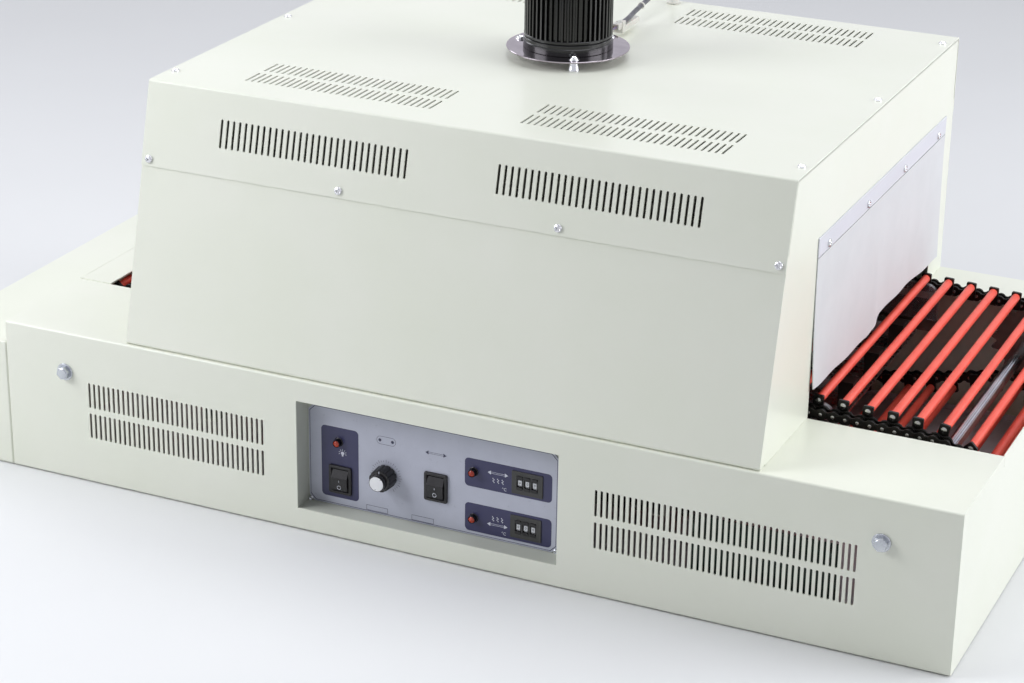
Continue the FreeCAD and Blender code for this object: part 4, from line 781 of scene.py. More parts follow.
def thick(name: str, outer: Array, inner: Array, faces: list[tuple[int, ...]]) -> Solid:
    """Close a sheet between two copies of one mesh.

    Args:
        name: Name of the piece.
        outer: Vertices of the outer copy.
        inner: Vertices of the inner copy.
        faces: Faces of one copy.

    Returns:
        The closed mesh.
    """
    total = len(outer)
    sides = {(start, end) for face in faces for start, end in zip(face, face[1:] + face[:1])}
    rim = [
        (start, end, end + total, start + total) for start,
        end in sorted(sides) if (end, start) not in sides
    ]
    solid = Solid(name, [np.vstack([outer, inner])], count=2 * total)
    solid.faces = [*faces, *(tuple(v + total for v in face[::-1]) for face in faces), *rim]
    solid.tints = [0] * len(solid.faces)
    return solid


def slots(xs: Array, low: float, high: float, width: float) -> list[Array]:
    """Outline a row of upright slots with round ends.

    Args:
        xs: Their middles.
        low: Where they start along the flat sheet.
        high: Where they end.
        width: Their width.

    Returns:
        One outline for each slot.
    """
    shape = rectangle((-width / 2, low), (width / 2, high), width / 2 - 0.02, 5)
    return [shape + np.array([x, 0.0]) for x in xs]


@dataclass(frozen=True)
class Lamp:
    """One round soft lamp of the studio."""

    name: str
    place: Point
    target: Point
    size: float
    power: float
    tint: Point = (0.975, 0.985, 1.03)

    def hang(self) -> None:
        """Put the lamp in the studio, turned to its target."""
        data = bpy.data.lights.new(self.name, "AREA")
        data.shape = "DISK"
        data.size = self.size
        data.energy = self.power
        data.color = self.tint
        lamp = bpy.data.objects.new(self.name, data)
        lamp.location = self.place
        direction = Vector(self.target) - Vector(self.place)
        lamp.rotation_euler = direction.to_track_quat("-Z", "Y").to_euler()
        bpy.context.scene.collection.objects.link(lamp)


@dataclass(frozen=True)
class Studio:
    """The photograph's camera and a pale room with soft light."""

    camera_place: Point = (1.0282, -2.4205, 1.2157)
    rotation_vector: Point = (1.925, 0.432, -0.269)
    lens: float = 91.36
    room: float = 14.0
    lamps: tuple[Lamp, ...] = (
        Lamp("key_lamp", (-1.65, -1.2, 1.35), (-0.3, 0.0, 0.25), 1.5, 37.0),
        Lamp("top_lamp", (0.4, 0.6, 3.6), (0.0, 0.0, 0.25), 2.8, 52.0, (0.97, 0.98, 1.03)),
        Lamp("side_lamp", (3.0, 0.5, 1.5), (0.0, 0.0, 0.25), 2.2, 72.0),
        Lamp("backdrop_lamp", (-3.4, 1.4, 2.4), (-1.0, 2.4, 0.0), 1.6, 24.0),
        Lamp("far_lamp", (3.2, 3.6, 2.4), (0.6, 2.6, 0.0), 1.6, 26.0),
    )

    def set_camera(self) -> None:
        """Put the camera where the photograph was taken."""
        data = bpy.data.cameras.new("photo_camera")
        data.lens = self.lens
        data.sensor_width = 36.0
        data.clip_end = 60.0
        camera = bpy.data.objects.new("photo_camera", data)
        turn = np.array(self.rotation_vector)
        angle = float(np.linalg.norm(turn))
        x, y, z = turn / angle
        cross = np.array([(0, -z, y), (z, 0, -x), (-y, x, 0)])
        rotation = np.eye(3) + math.sin(angle) * cross + (1 - math.cos(angle)) * cross @ cross
        matrix = np.eye(4)
        matrix[:3, :3] = rotation.T @ np.diag([1.0, -1.0, -1.0])
        matrix[:3, 3] = self.camera_place
        camera.matrix_world = Matrix(matrix.tolist())
        bpy.context.scene.collection.objects.link(camera)
        bpy.context.scene.camera = camera

    def build(self) -> None:
        """Make the floor, the lamps and the sky."""
        scene = bpy.context.scene
        scene.view_settings.view_transform = "Standard"
        half = self.room / 2
        floor = Solid("studio_floor").block((-half / MM, -half / MM, -22.0), (half / MM, half / MM, -1.0))
        mesh = bpy.data.meshes.new("studio_floor")
        mesh.from_pydata((floor.points() * MM).tolist(), [], floor.faces)
        mesh.materials.append(FLOOR_WHITE.build())
        plate = bpy.data.objects.new("studio_floor", mesh)
        scene.collection.objects.link(plate)
        for lamp in self.lamps:
            lamp.hang()
        self.build_sky()

    def build_sky(self) -> None:
        """Light the room evenly, and show a pale lavender backdrop to the view and to mirrors."""
        world = bpy.data.worlds.new("pale_room")
        world.use_nodes = True
        tree = world.node_tree
        tree.nodes.clear()
        output = tree.nodes.new("ShaderNodeOutputWorld")
        soft = tree.nodes.new("ShaderNodeBackground")
        soft.inputs["Color"].default_value = linear((226, 228, 236))
        soft.inputs["Strength"].default_value = 0.28
        shown = tree.nodes.new("ShaderNodeBackground")
        shown.inputs["Color"].default_value = linear((229, 229, 237))
        shown.inputs["Strength"].default_value = 1.0
        mix = tree.nodes.new("ShaderNodeMixShader")
        path = tree.nodes.new("ShaderNodeLightPath")
        mirrored = tree.nodes.new("ShaderNodeMath")
        mirrored.operation = "MAXIMUM"
        tree.links.new(path.outputs["Is Camera Ray"], mirrored.inputs[0])
        tree.links.new(path.outputs["Is Glossy Ray"], mirrored.inputs[1])
        seen = tree.nodes.new("ShaderNodeMath")
        seen.operation = "MAXIMUM"
        tree.links.new(mirrored.outputs["Value"], seen.inputs[0])
        tree.links.new(path.outputs["Is Transmission Ray"], seen.inputs[1])
        tree.links.new(seen.outputs["Value"], mix.inputs["Fac"])
        tree.links.new(soft.outputs["Background"], mix.inputs[1])
        tree.links.new(shown.outputs["Background"], mix.inputs[2])
        tree.links.new(mix.outputs["Shader"], output.inputs["Surface"])
        bpy.context.scene.world = world


@dataclass(frozen=True)
class Cabinet:
    """The base cabinet's folded covers, outfeed end wall and drive housing."""

    left: float = -525.0
    right: float = 525.0
    front: float = -307.5
    rear: float = 307.5
    height: float = 169.0
    sheet: float = 1.5
    flange: float = 14.0
    opening_front: float = -164.5
    opening_rear: float = 250.0
    lip: float = 12.0
    bend: float = 2.5
    slot_rows: tuple[tuple[float, float], ...] = ((52.5, 81.0), (87.5, 116.0))
    slot_width: float = 2.7
    slot_pitch: float = 6.0
    window: tuple[float, float, float, float] = (-172.0, 120.7, 24.0, 145.1)

    def build(self) -> None:
        """Make the cabinet's covers, outfeed end wall and drive housing."""
        self.build_front()
        self.build_rear()
        self.build_ends()
        self.build_housing()

    def build_front(self) -> None:
        """Fold the front cover with its vents and the panel window."""
        section = Section([
            (self.front + self.flange, 0.0), (self.front, 0.0), (self.front, self.height),
            (self.opening_front, self.height), (self.opening_front, self.height - self.lip),
        ], self.bend)
        xs = np.concatenate(
            [-422.4 + self.slot_pitch * np.arange(36), 161.2 + self.slot_pitch * np.arange(45)]
        )
        holes = []
        for low, high in self.slot_rows:
            start, end = section.developed((self.front, low)), section.developed((self.front, high))
            holes += slots(xs, start, end, self.slot_width)
        left, right, low, high = self.window
        start, end = section.developed((self.front, low)), section.developed((self.front, high))
        holes.append(rectangle((left, start), (right, end), 0.8, 3))
        cover = SheetCut("base_front_skin", section, self.left, self.right, tuple(holes))
        cover.emit(IVORY, "cabinet_paint", ("base_front_cover",))

    def build_rear(self) -> None:
        """Fold the rear cover."""
        section = Section([
            (self.opening_rear, self.height - self.lip), (self.opening_rear, self.height),
            (self.rear, self.height), (self.rear, 0.0), (self.rear - self.flange, 0.0),
        ], self.bend)
        middle = (-200.0, section.developed((self.rear, 60.0)))
        cover = SheetCut("base_rear_skin", section, self.left, self.right, (circle(middle, 10.5),))
        cover.emit(IVORY, "cabinet_paint", ("base_rear_cover",))

    def end_outline(self) -> Array:
        """Outline an end wall between the covers.

        Returns:
            The outline's points.
        """
        clear = 0.1
        low, under = self.sheet + clear, self.height - self.sheet - clear
        front, rear = self.front + low, self.rear - low
        under_lip = self.height - self.lip - clear
        return np.array([
            (front + self.flange - low, 0.0), (rear - self.flange + low, 0.0), (
                rear - self.flange + low, low
            ),
            (rear, low), (rear, under), (self.opening_rear + low, under), (
                self.opening_rear + low, under_lip
            ),
            (self.opening_rear - clear, under_lip), (self.opening_rear - clear, self.height),
            (self.opening_front + clear, self.height), (self.opening_front + clear, under_lip),
            (self.opening_front - low, under_lip), (self.opening_front - low, under), (front, under),
            (front, low), (front + self.flange - low, low),
        ])

    def build_ends(self) -> None:
        """Make the outfeed end wall."""
        right = Solid("base_right_skin").prism(
            self.end_outline(), self.right - self.sheet, self.right, Axis.X
        )
        right.emit([IVORY], "cabinet_paint", ("base_right_end",), bevel=0.4)

    def build_housing(self) -> None:
        """Make the lower box over the drive at the infeed end."""
        right = self.left - 0.8
        left = right - 94.2
        shell = Solid("drive_housing_skin")
        shell.block((left, self.front, 0.0), (right, self.front + 420.0, 144.5))
        shell.emit([IVORY], "cabinet_paint", ("drive_end_housing",), bevel=2.4, segments=4)


@dataclass(frozen=True)
class Hood:
    """The heating hood's folded sheets and its two side walls."""

    left: float = -375.5
    right: float = 325.8
    middle: float = -24.85
    foot: tuple[float, float] = (-305.2, 169.0)
    rear: float = 304.5
    top: float = 439.4
    lean: float = 0.24778
    cap_foot: float = 353.1
    overlap: float = 16.0
    sheet: float = 1.5
    flange: float = 14.0
    bend: float = 3.0
    mouth: tuple[float, float, float] = (-164.5, 250.0, 355.0)
    slot_width: float = 2.8
    slot_pitch: float = 7.0
    slot_first: float = 50.4
    slot_count: int = 31
    front_slots: tuple[float, float] = (382.3, 411.0)
    top_slots: tuple[tuple[float, float], ...] = (
        (-199.5, -169.1), (-161.0, -131.2), (211.5, 240.0), (248.1, 275.8),
    )

    def slope(self, z: float, proud: float = 0.0) -> float:
        """Give the sloped front's Y.

        Args:
            z: Height.
            proud: Distance outwards.

        Returns:
            The Y of the slope at that height.
        """
        return self.foot[0] + (z - self.foot[1]) * self.lean - proud * math.hypot(1.0, self.lean)

    def build(self) -> None:
        """Make the cap, both lower covers and both side walls."""
        self.build_cap()
        high = self.cap_foot + self.overlap
        front = Section([
            (self.foot[0] + self.flange, self.foot[1]), self.foot, (self.slope(high), high),
        ], self.bend)
        SheetCut("hood_front_skin", front, self.left, self.right).emit(
            IVORY, "hood_paint", ("hood_front_cover",)
        )
        back = self.rear - self.sheet
        rear = Section([(back, high), (back, self.foot[1]), (back - self.flange, self.foot[1])], self.bend)
        SheetCut("hood_rear_skin", rear, self.left, self.right).emit(
            IVORY, "hood_paint", ("hood_rear_cover",)
        )
        self.build_sides()

    def build_cap(self) -> None:
        """Fold the cap with its vents and the two round holes on top."""
        section = Section([
            (self.slope(self.cap_foot, self.sheet), self.cap_foot), (
                self.slope(self.top, self.sheet), self.top
            ),
            (self.rear, self.top), (self.rear, self.cap_foot),
        ], self.bend)
        steps = self.slot_first + self.slot_pitch * np.arange(self.slot_count)
        xs = np.concatenate([self.middle - steps, self.middle + steps])
        low, high = [section.developed((self.slope(z, self.sheet), z)) for z in self.front_slots]
        holes = slots(xs, low, high, self.slot_width)
        for front, back in self.top_slots:
            low, high = section.developed((front, self.top)), section.developed((back, self.top))
            holes += slots(xs, low, high, self.slot_width)
        for x, y, radius in ((-28.0, 38.5, 8.0), (-6.0, 290.0, 5.0)):
            holes.append(circle((x, section.developed((y, self.top))), radius))
        cap = SheetCut("hood_cap_skin", section, self.left, self.right, tuple(holes))
        cap.emit(IVORY, "hood_paint", ("hood_cap",))

    def side_outline(self) -> Array:
        """Outline a side wall with the conveyor's mouth.

        Returns:
            The outline's points.
        """
        low, high = self.foot[1] + 1.6, self.top - 1.6
        rear = self.rear - 3.1
        front, back, lintel = self.mouth
        return np.array([
            (self.slope(low) + 1.6, low), (front, low), (front, lintel), (back, lintel), (back, low),
            (rear, low), (rear, high), (self.slope(high) + 1.6, high),
        ])

    def build_sides(self) -> None:
        """Make both side walls with the flanges that the cap is screwed to."""
        outline = self.side_outline()
        low, high = self.foot[1], self.top - 1.6
        for name, start, way in (("left", self.left, 1), ("right", self.right, -1)):
            near, far = sorted((start, start + way * self.sheet))
            edge, tip = sorted((start, start + way * self.flange))
            wall = Solid(f"hood_{name}_skin").prism(outline, near, far, Axis.X)
            wall.block((near, outline[0][0] + self.flange, low), (far, self.mouth[0], low + 1.7))
            wall.block((near, self.mouth[1], low), (far, self.rear - 17.0, low + 1.7))
            wall.block((edge, outline[7][0], high - 1.5), (tip, self.rear - 3.2, high + 0.01))
            wall.emit([IVORY], "hood_paint", (f"hood_{name}_side",), bevel=0.4)


@dataclass(frozen=True)
class Belt:
    """The rod conveyor: both chains, the sleeved rods, the guides, wheels and axles."""

    pitch: float = 12.7
    rods: int = 81
    teeth: int = 20
    run: float = 170.0
    exit_x: float = 449.4
    axle_z: float = 123.9
    knee_x: float = 333.0
    phase_x: float = 329.0
    front: float = -154.5
    rear: float = 247.5
    plate: float = 1.5
    inner: float = 7.9
    tab: float = 3.6
    rise: float = 10.0
    sleeve: float = 4.5
    link_height: float = 12.0
    roller: float = 3.96
    guide: float = 6.0
    guide_height: float = 42.0
    guide_past_knee: float = 12.5
    sag: float = 56.0

    @property
    def radius(self) -> float:
        """Pitch radius of the chain wheels."""
        return self.pitch / (2 * math.sin(math.pi / self.teeth))

    @property
    def length(self) -> float:
        """Length of the belt's pitch line."""
        return 2 * self.rods * self.pitch

    def lines(self) -> tuple[float, float, float, float]:
        """Solve the belt's pitch line.

        Returns:
            The sloped runs' tangent angle, each wheel's wrap, a sloped run's length, the axle spacing.
        """
        rise, reach = self.run - self.axle_z, self.exit_x - self.knee_x
        direct = math.hypot(reach, rise)
        slope = math.sqrt(direct**2 - self.radius**2)
        tangent = math.atan2(rise, -reach) - math.acos(self.radius / direct)
        wrap = tangent + math.pi / 2
        spacing = (self.length - 2 * (self.radius * wrap + slope)) / 2 + reach
        return tangent, wrap, slope, spacing

    @property
    def entry_x(self) -> float:
        """X of the infeed axle."""
        return self.exit_x - self.lines()[3]

    def at(self, distance: Array) -> Array:
        """Follow the pitch line from the outfeed knee over the flat run.

        Args:
            distance: Distances along the line.

        Returns:
            For each, X and Z.
        """
        tangent, wrap, slope, spacing = self.lines()
        reach = self.exit_x - self.knee_x
        arc = np.linspace(0.0, wrap, 25)[:, None]
        turn = np.array([self.radius, self.radius])
        first = math.pi - tangent + arc
        second = -math.pi / 2 + arc
        share = np.linspace(-1.0, 1.0, 61)[1:-1]
        middle = (self.entry_x + self.exit_x) / 2
        hanging = self.axle_z - self.radius - self.sag * (1 - share**2)
        corners = np.vstack([
            [(self.knee_x, self.run), (self.knee_x - (spacing - 2 * reach), self.run)],
            np.array([self.entry_x, self.axle_z]) + turn * np.hstack([np.cos(first), np.sin(first)]),
            np.stack([middle + share * spacing / 2, hanging], 1),
            np.array([self.exit_x, self.axle_z]) + turn * np.hstack([np.cos(second), np.sin(second)]),
            [(self.knee_x, self.run)],
        ])
        marks = np.concatenate([[0.0], np.cumsum(np.linalg.norm(np.diff(corners, axis=0), axis=1))])
        places = np.mod(distance, self.length) * marks[-1] / self.length
        return np.stack([np.interp(places, marks, corners[:, axis]) for axis in (0, 1)], -1)

    def frames(self, distance: Array, y: float, mirror: bool = False) -> Array:
        """Place pieces on the belt, their X along the chord of one pitch and their Z outwards.

        Args:
            distance: Where their origins lie along the pitch line.
            y: Y of their origins.
            mirror: Turn them to the rear chain.

        Returns:
            One 4 by 4 matrix for each.
        """
        here = self.at(distance)
        ahead = self.at(distance + self.pitch)
        along = (ahead - here) / np.linalg.norm(ahead - here, axis=1)[:, None]
        places = np.zeros((len(here), 4, 4))
        places[:, 0, 0], places[:, 2, 0] = along.T
        places[:, 1, 1] = -1.0 if mirror else 1.0
        places[:, 0, 2], places[:, 2, 2] = along[:, 1], -along[:, 0]
        places[:, 0, 3], places[:, 2, 3] = here.T
        places[:, 1, 3] = y
        places[:, 3, 3] = 1.0
        return places

    def build(self) -> None:
        """Make all of the conveyor's pieces."""
        stations = self.knee_x - self.phase_x + 2 * self.pitch * np.arange(self.rods)
        start = self.front + 2 * self.plate + self.inner
        self.build_rods(stations, start + self.tab)
        self.build_chain("front", stations, self.front, False)
        self.build_chain("rear", stations, self.rear, True)
        self.build_guides(start + self.tab)
        self.build_wheels()

    def upright(self, distance: Array, y: float, mirror: bool = False) -> Array:
        """Place pieces square to the pitch line at a point of it."""
        places = self.frames(distance - self.pitch / 2, y, mirror)
        here = self.at(distance)
        places[:, 0, 3], places[:, 2, 3] = here.T
        return places

    def build_rods(self, stations: Array, start: float) -> None:
        """Make the silicone sleeves on all cross rods."""
        end = self.front + self.rear - start
        sleeve = Solid("sleeve").turned(np.array([
            (0.0, 0.0), (self.sleeve - 0.7, 0.0), (self.sleeve - 0.2, 0.2), (self.sleeve, 0.7),
            (self.sleeve, end - start - 0.7), (self.sleeve - 0.2, end - start - 0.2),
            (self.sleeve - 0.7, end - start), (0.0, end - start),
        ]), (0.0, 0.0, self.rise), Axis.Y, 28)
        piece = Solid("silicone_sleeves").copies(sleeve, self.upright(stations, start))
        piece.emit([CORAL], "coral_sleeve", ("roller_rods",), bevel=0.0)

    def build_chain(self, side: str, stations: Array, y: float, mirror: bool) -> None:
        """Make one chain with its tabs.

        Args:
            side: Name of the side.
            stations: Distances of the rods along the pitch line.
            y: Y of the chain's outer face.
            mirror: Whether the chain is the rear one.
        """
        width = 2 * self.plate + self.inner
        plates = Solid(f"{side}_chain_plates")
        for shift, inset, height in (
            (-self.pitch / 2, 0.0, self.link_height), (self.pitch / 2, 0.9, self.link_height - 1.2)
        ):
            link = self.link(height)
            distances = stations + shift
            for place in (inset, width - self.plate - inset):
                moved = self.frames(distances, y + (-place if mirror else place), mirror)
                plates.copies(link, moved)
        names = ("conveyor_chains",) if side == "front" else ()
        plates.emit([CHAIN_BLACK], "chain_black", names, bevel=0.25)
        pin = Solid("pin").turned(np.array([
            (0.0, -0.25), (1.5, -0.25), (2.0, 0.05), (2.0, width - 0.05), (1.5, width + 0.1),
            (0.0, width + 0.1),
        ]), (0.0, 0.0, 0.0), Axis.Y, 14)
        roller = Solid("roller").turned(np.array([
            (0.0, self.plate + 0.3), (self.roller, self.plate + 0.3),
            (self.roller, width - self.plate - 0.3), (0.0, width - self.plate - 0.3),
        ]), (0.0, 0.0, 0.0), Axis.Y, 18)
        pins = Solid(f"{side}_chain_pins")
        marks = self.knee_x - self.phase_x - self.pitch / 2 + self.pitch * np.arange(2 * self.rods)
        places = self.frames(marks, y, mirror)
        pins.copies(pin, places, 0)
        pins.copies(roller, places, 1)
        pins.emit([PIN_STEEL, CHAIN_BLACK], "chain_black", (), bevel=0.0)
        self.build_tabs(side, stations, y, mirror, width)

    def link(self, height: float) -> Solid:
        """Make one waisted link plate.

        Args:
            height: Its height.

        Returns:
            The plate, from its own outer face inwards.
        """
        half = height / 2
        angles = np.radians(np.linspace(50, 310, 14))
        left = np.stack([np.cos(angles), np.sin(angles)], 1) * half
        right = -left + np.array([self.pitch, 0.0])
        waist = half * 0.62
        middle = self.pitch / 2
        outline = np.vstack([[(middle, waist)], left, [(middle, -waist)], right])
        return Solid("link").prism(outline, 0.0, self.plate, Axis.Y)

    def build_tabs(self, side: str, stations: Array, y: float, mirror: bool, width: float) -> None:
        """Make the upright tabs that hold the rods, with the rods' shiny ends."""
        half, foot, head = 5.5, -5.0, 15.6
        outline = rounded_outline(np.array([
            (-half, foot), (half, foot), (half, head), (-half, head),
        ]), np.array([2.0, 2.0, 1.6, 1.6]), 4)
        tab = Solid("tab").prism(outline, width, width + self.tab, Axis.Y)
        places = self.upright(stations, y, mirror)
        tabs = Solid(f"{side}_tabs").copies(tab, places)
        names = ("roller_tabs",) if side == "front" else ()
        tabs.emit([CHAIN_BLACK], "chain_black", names, bevel=0.4)
        end = Solid("end").turned(np.array([
            (0.0, width - 1.4), (2.0, width - 1.3), (3.1, width - 0.7), (3.3, width - 0.1),
            (3.3, width + 0.5),
            (0.0, width + 0.5),
        ]), (0.0, 0.0, self.rise), Axis.Y, 16)
        Solid(f"{side}_rod_ends").copies(end, places).emit([PIN_STEEL], "coral_sleeve", (), bevel=0.0)

    def build_guides(self, start: float) -> None:
        """Make the translucent guide plates with the bolts near their ends."""
        high = self.run + self.rise - self.sleeve - 0.1
        low = high - self.guide_height
        right = self.knee_x + self.guide_past_knee
        left = self.entry_x + self.exit_x - right
        outline = rounded_outline(
            np.array([(left, low), (right, low), (right, high), (left, high)]),
            np.array([2.0, 2.0, 15.0, 15.0]), 8,
        )
        guides = Solid("guide_plates")
        bolts = Solid("guide_bolts")
        end = self.front + self.rear - start
        for near, far, face, way in (
            (start, start + self.guide, start, -1), (end - self.guide, end, end, 1),
        ):
            guides.prism(outline, near, far, Axis.Y)
            for x in (right - 21.5, left + 21.5):
                for radius, sides, lift, depth in ((8.0, 24, 0.0, 1.2), (5.6, 6, 1.2, 4.0)):
                    seat, tip = sorted((face + way * lift, face + way * (lift + depth)))
                    bolts.prism(circle((x, high - 29.5), radius, sides), seat, tip, Axis.Y)
        guides.emit([GUIDE_PLASTIC], "guide_plastic", ("chain_guides",), bevel=0.6)
        bolts.emit([ZINC], "zinc", (), bevel=0.4)

    def build_wheels(self) -> None:
        """Make the chain wheels, which ride on their own bodies, and both axles."""
        start = self.front + self.plate + 0.35
        end = start + self.inner - 0.7
        for body, x, bore, names in (
            ("exit_wheels", self.exit_x, 7.05, ("exit_sprockets",)),
            ("entry_wheels", self.entry_x, 10.05, ("entry_sprockets",)),
        ):
            wheels = Solid(f"{body}_skin")
            outline = self.tooth_outline() + np.array([x, self.axle_z])
            flip = self.front + self.rear
            for near, far, hub_near, hub_far in (
                (start, end, end, end + 17.0), (flip - end, flip - start, flip - end - 17.0, flip - end),
            ):
                self.bored(wheels, outline, circle((x, self.axle_z), bore, len(outline)), near, far)
                count = 32
                rim, hole = circle((x, self.axle_z), 14.0, count), circle((x, self.axle_z), bore, count)
                self.bored(wheels, rim, hole, hub_near, hub_far)
            wheels.emit([BARE_STEEL], "sprocket_steel", names, body=body, bevel=0.3)
        axles = Solid("axle_rods")
        for x in (self.exit_x, self.entry_x):
            axles.turned(np.array([
                (0.0, -306.0), (6.4, -306.0), (7.0, -305.4), (7.0, 305.4), (6.4, 306.0), (0.0, 306.0),
            ]), (x, 0.0, self.axle_z), Axis.Y, 48)
        axles.emit([AXLE_CHROME], "shaft_steel", ("axles",), bevel=0.0)

    def bored(self, target: Solid, rim: Array, hole: Array, near: float, far: float) -> None:
        """Add a ring between two outlines of equal count, extruded along Y."""
        rings = np.stack([
            spatial(rim, near, Axis.Y), spatial(rim, far, Axis.Y), spatial(hole, far, Axis.Y),
            spatial(hole, near, Axis.Y),
        ])
        count = len(rim)
        target.add(rings.reshape(-1, 3), [ring_faces(4, count, True, True)])

    def tooth_outline(self) -> Array:
        """Outline a chain wheel about the origin.

        Returns:
            The outline's points, eight for each tooth.
        """
        root, tip = self.radius - self.roller - 0.05, self.radius + self.roller * 0.75
        shares = np.array([-0.5, -0.36, -0.25, -0.13, -0.06, 0.06, 0.13, 0.25, 0.36])
        radii = np.array(
            [
                root, root + 0.5, self.radius - 1.0, tip - 1.0, tip, tip, tip - 1.0, self.radius - 1.0,
                root + 0.5
            ]
        )
        angles = (np.arange(self.teeth)[:, None] + shares[None, :]).ravel() * 2 * math.pi / self.teeth
        reach = np.tile(radii, self.teeth)
        return np.stack([reach * np.cos(angles), reach * np.sin(angles)], 1)


def pan_head(radius: float, height: float) -> Solid:
    """Make a domed screw head with a cross recess, standing on the XY plane.

    Args:
        radius: Its radius.
        height: Its height.

    Returns:
        The mesh.
    """
    count = 64
    reach = np.concatenate([np.linspace(0.0, 0.72, 13), [0.8, 0.88, 0.94, 0.98, 1.0]]) * radius
    angles = np.arange(count) * 2 * math.pi / count
    x, y = reach[:, None] * np.cos(angles), reach[:, None] * np.sin(angles)
    dome = height * (0.45 + 0.55 * np.sqrt(np.clip(1 - (reach / radius) ** 2, 0, 1)))[:, None]
    arm = np.minimum(np.maximum(np.abs(x) / 0.62, np.abs(y) / (0.6 * radius)),
                     np.maximum(np.abs(y) / 0.62, np.abs(x) / (0.6 * radius)))
    z = dome - np.clip((1.25 - arm) * 2.0, 0, 1) * height * 0.5
    rings = [np.stack([x, y, z], -1)]
    rim = np.stack([x[-1], y[-1], np.zeros(count)], -1)
    rings.append(rim[None])
    return Solid("pan_head").loft(np.vstack(rings), caps=(False, True))


def seats(places: Array, normals: Array) -> Array:
    """Place pieces that stand on Z upon points with the given normals.

    Args:
        places: Where they stand.
        normals: Unit vectors away from the surface.

    Returns:
        One 4 by 4 matrix for each.
    """
    side = np.cross(np.broadcast_to([0.31, 0.87, 0.38], normals.shape), normals)
    side /= np.linalg.norm(side, axis=1)[:, None]
    matrices = np.zeros((len(places), 4, 4))
    matrices[:, :3, 0] = side
    matrices[:, :3, 1] = np.cross(normals, side)
    matrices[:, :3, 2] = normals
    matrices[:, :3, 3] = places
    matrices[:, 3, 3] = 1.0
    return matrices


@dataclass(frozen=True)
class Fasteners:
    """The cross-recessed screws of the hood and curtains, and the axles' hexagon bolts."""

    head_radius: float = 4.2
    head_height: float = 2.6
    seam_z: float = 360.3
    seam_xs: tuple[float, ...] = (-366.8, -145.9, 94.0, 318.5)
    top_xs: tuple[float, ...] = (-366.5, 316.8)
    top_ys: tuple[float, ...] = (-202.9, 34.5, 268.5)
    curtain_ys: tuple[float, ...] = (-135.6, -9.7, 116.2, 242.1)
    curtain_z: float = 344.0
    across: float = 13.0
    washer: float = 9.5

    def build(self, hood: Hood, belt: Belt) -> None:
        """Make the screws of the hood and curtains, and the axles' bolts.

        Args:
            hood: The hood that the screws sit on.
            belt: The belt whose axles are bolted.
        """
        lean = math.hypot(1.0, hood.lean)
        slope = (0.0, -1.0 / lean, hood.lean / lean)
        places = [((x, hood.slope(self.seam_z, hood.sheet), self.seam_z), slope) for x in self.seam_xs]
        places += [((x, y, hood.top), (0.0, 0.0, 1.0)) for x in self.top_xs for y in self.top_ys]
        for y in self.curtain_ys:
            places.append(((hood.right + 1.5, y, self.curtain_z), (1.0, 0.0, 0.0)))
            places.append(((hood.left - 1.5, y, self.curtain_z), (-1.0, 0.0, 0.0)))
        points, normals = (np.array(column) for column in zip(*places))
        heads = Solid("hood_screws").copies(
            pan_head(self.head_radius, self.head_height), seats(points, normals)
        )
        heads.emit([CHROME], "screw_chrome", ("pan_heads",), bevel=0.0)
        bolts = Solid("axle_bolt_heads")
        corner = self.across / math.sqrt(3)
        for x in (belt.exit_x, belt.entry_x):
            for face, way in ((-307.5, -1.0), (307.5, 1.0)):
                place = (x, face, belt.axle_z)
                washer = np.array([
                    (0.0, 0.0), (self.washer, 0.0), (self.washer, 1.2), (self.washer - 0.4, 1.6),
                    (0.0, 1.6),
                ])
                washer[:, 1] *= way
                bolts.turned(washer, place, Axis.Y, 40)
                outline = circle((x, belt.axle_z), corner, 6, math.pi / 12)
                near, far = sorted((face + way * 1.6, face + way * 6.4))
                bolts.prism(outline, near, far, Axis.Y)
                crown = np.array([(0.0, 6.3), (5.6, 6.3), (5.3, 6.8), (4.6, 7.05), (0.0, 7.1)])
                crown[:, 1] *= way
                bolts.turned(crown, place, Axis.Y, 30)
        bolts.emit([ZINC], "zinc", ("axle_bolts",), bevel=0.5)


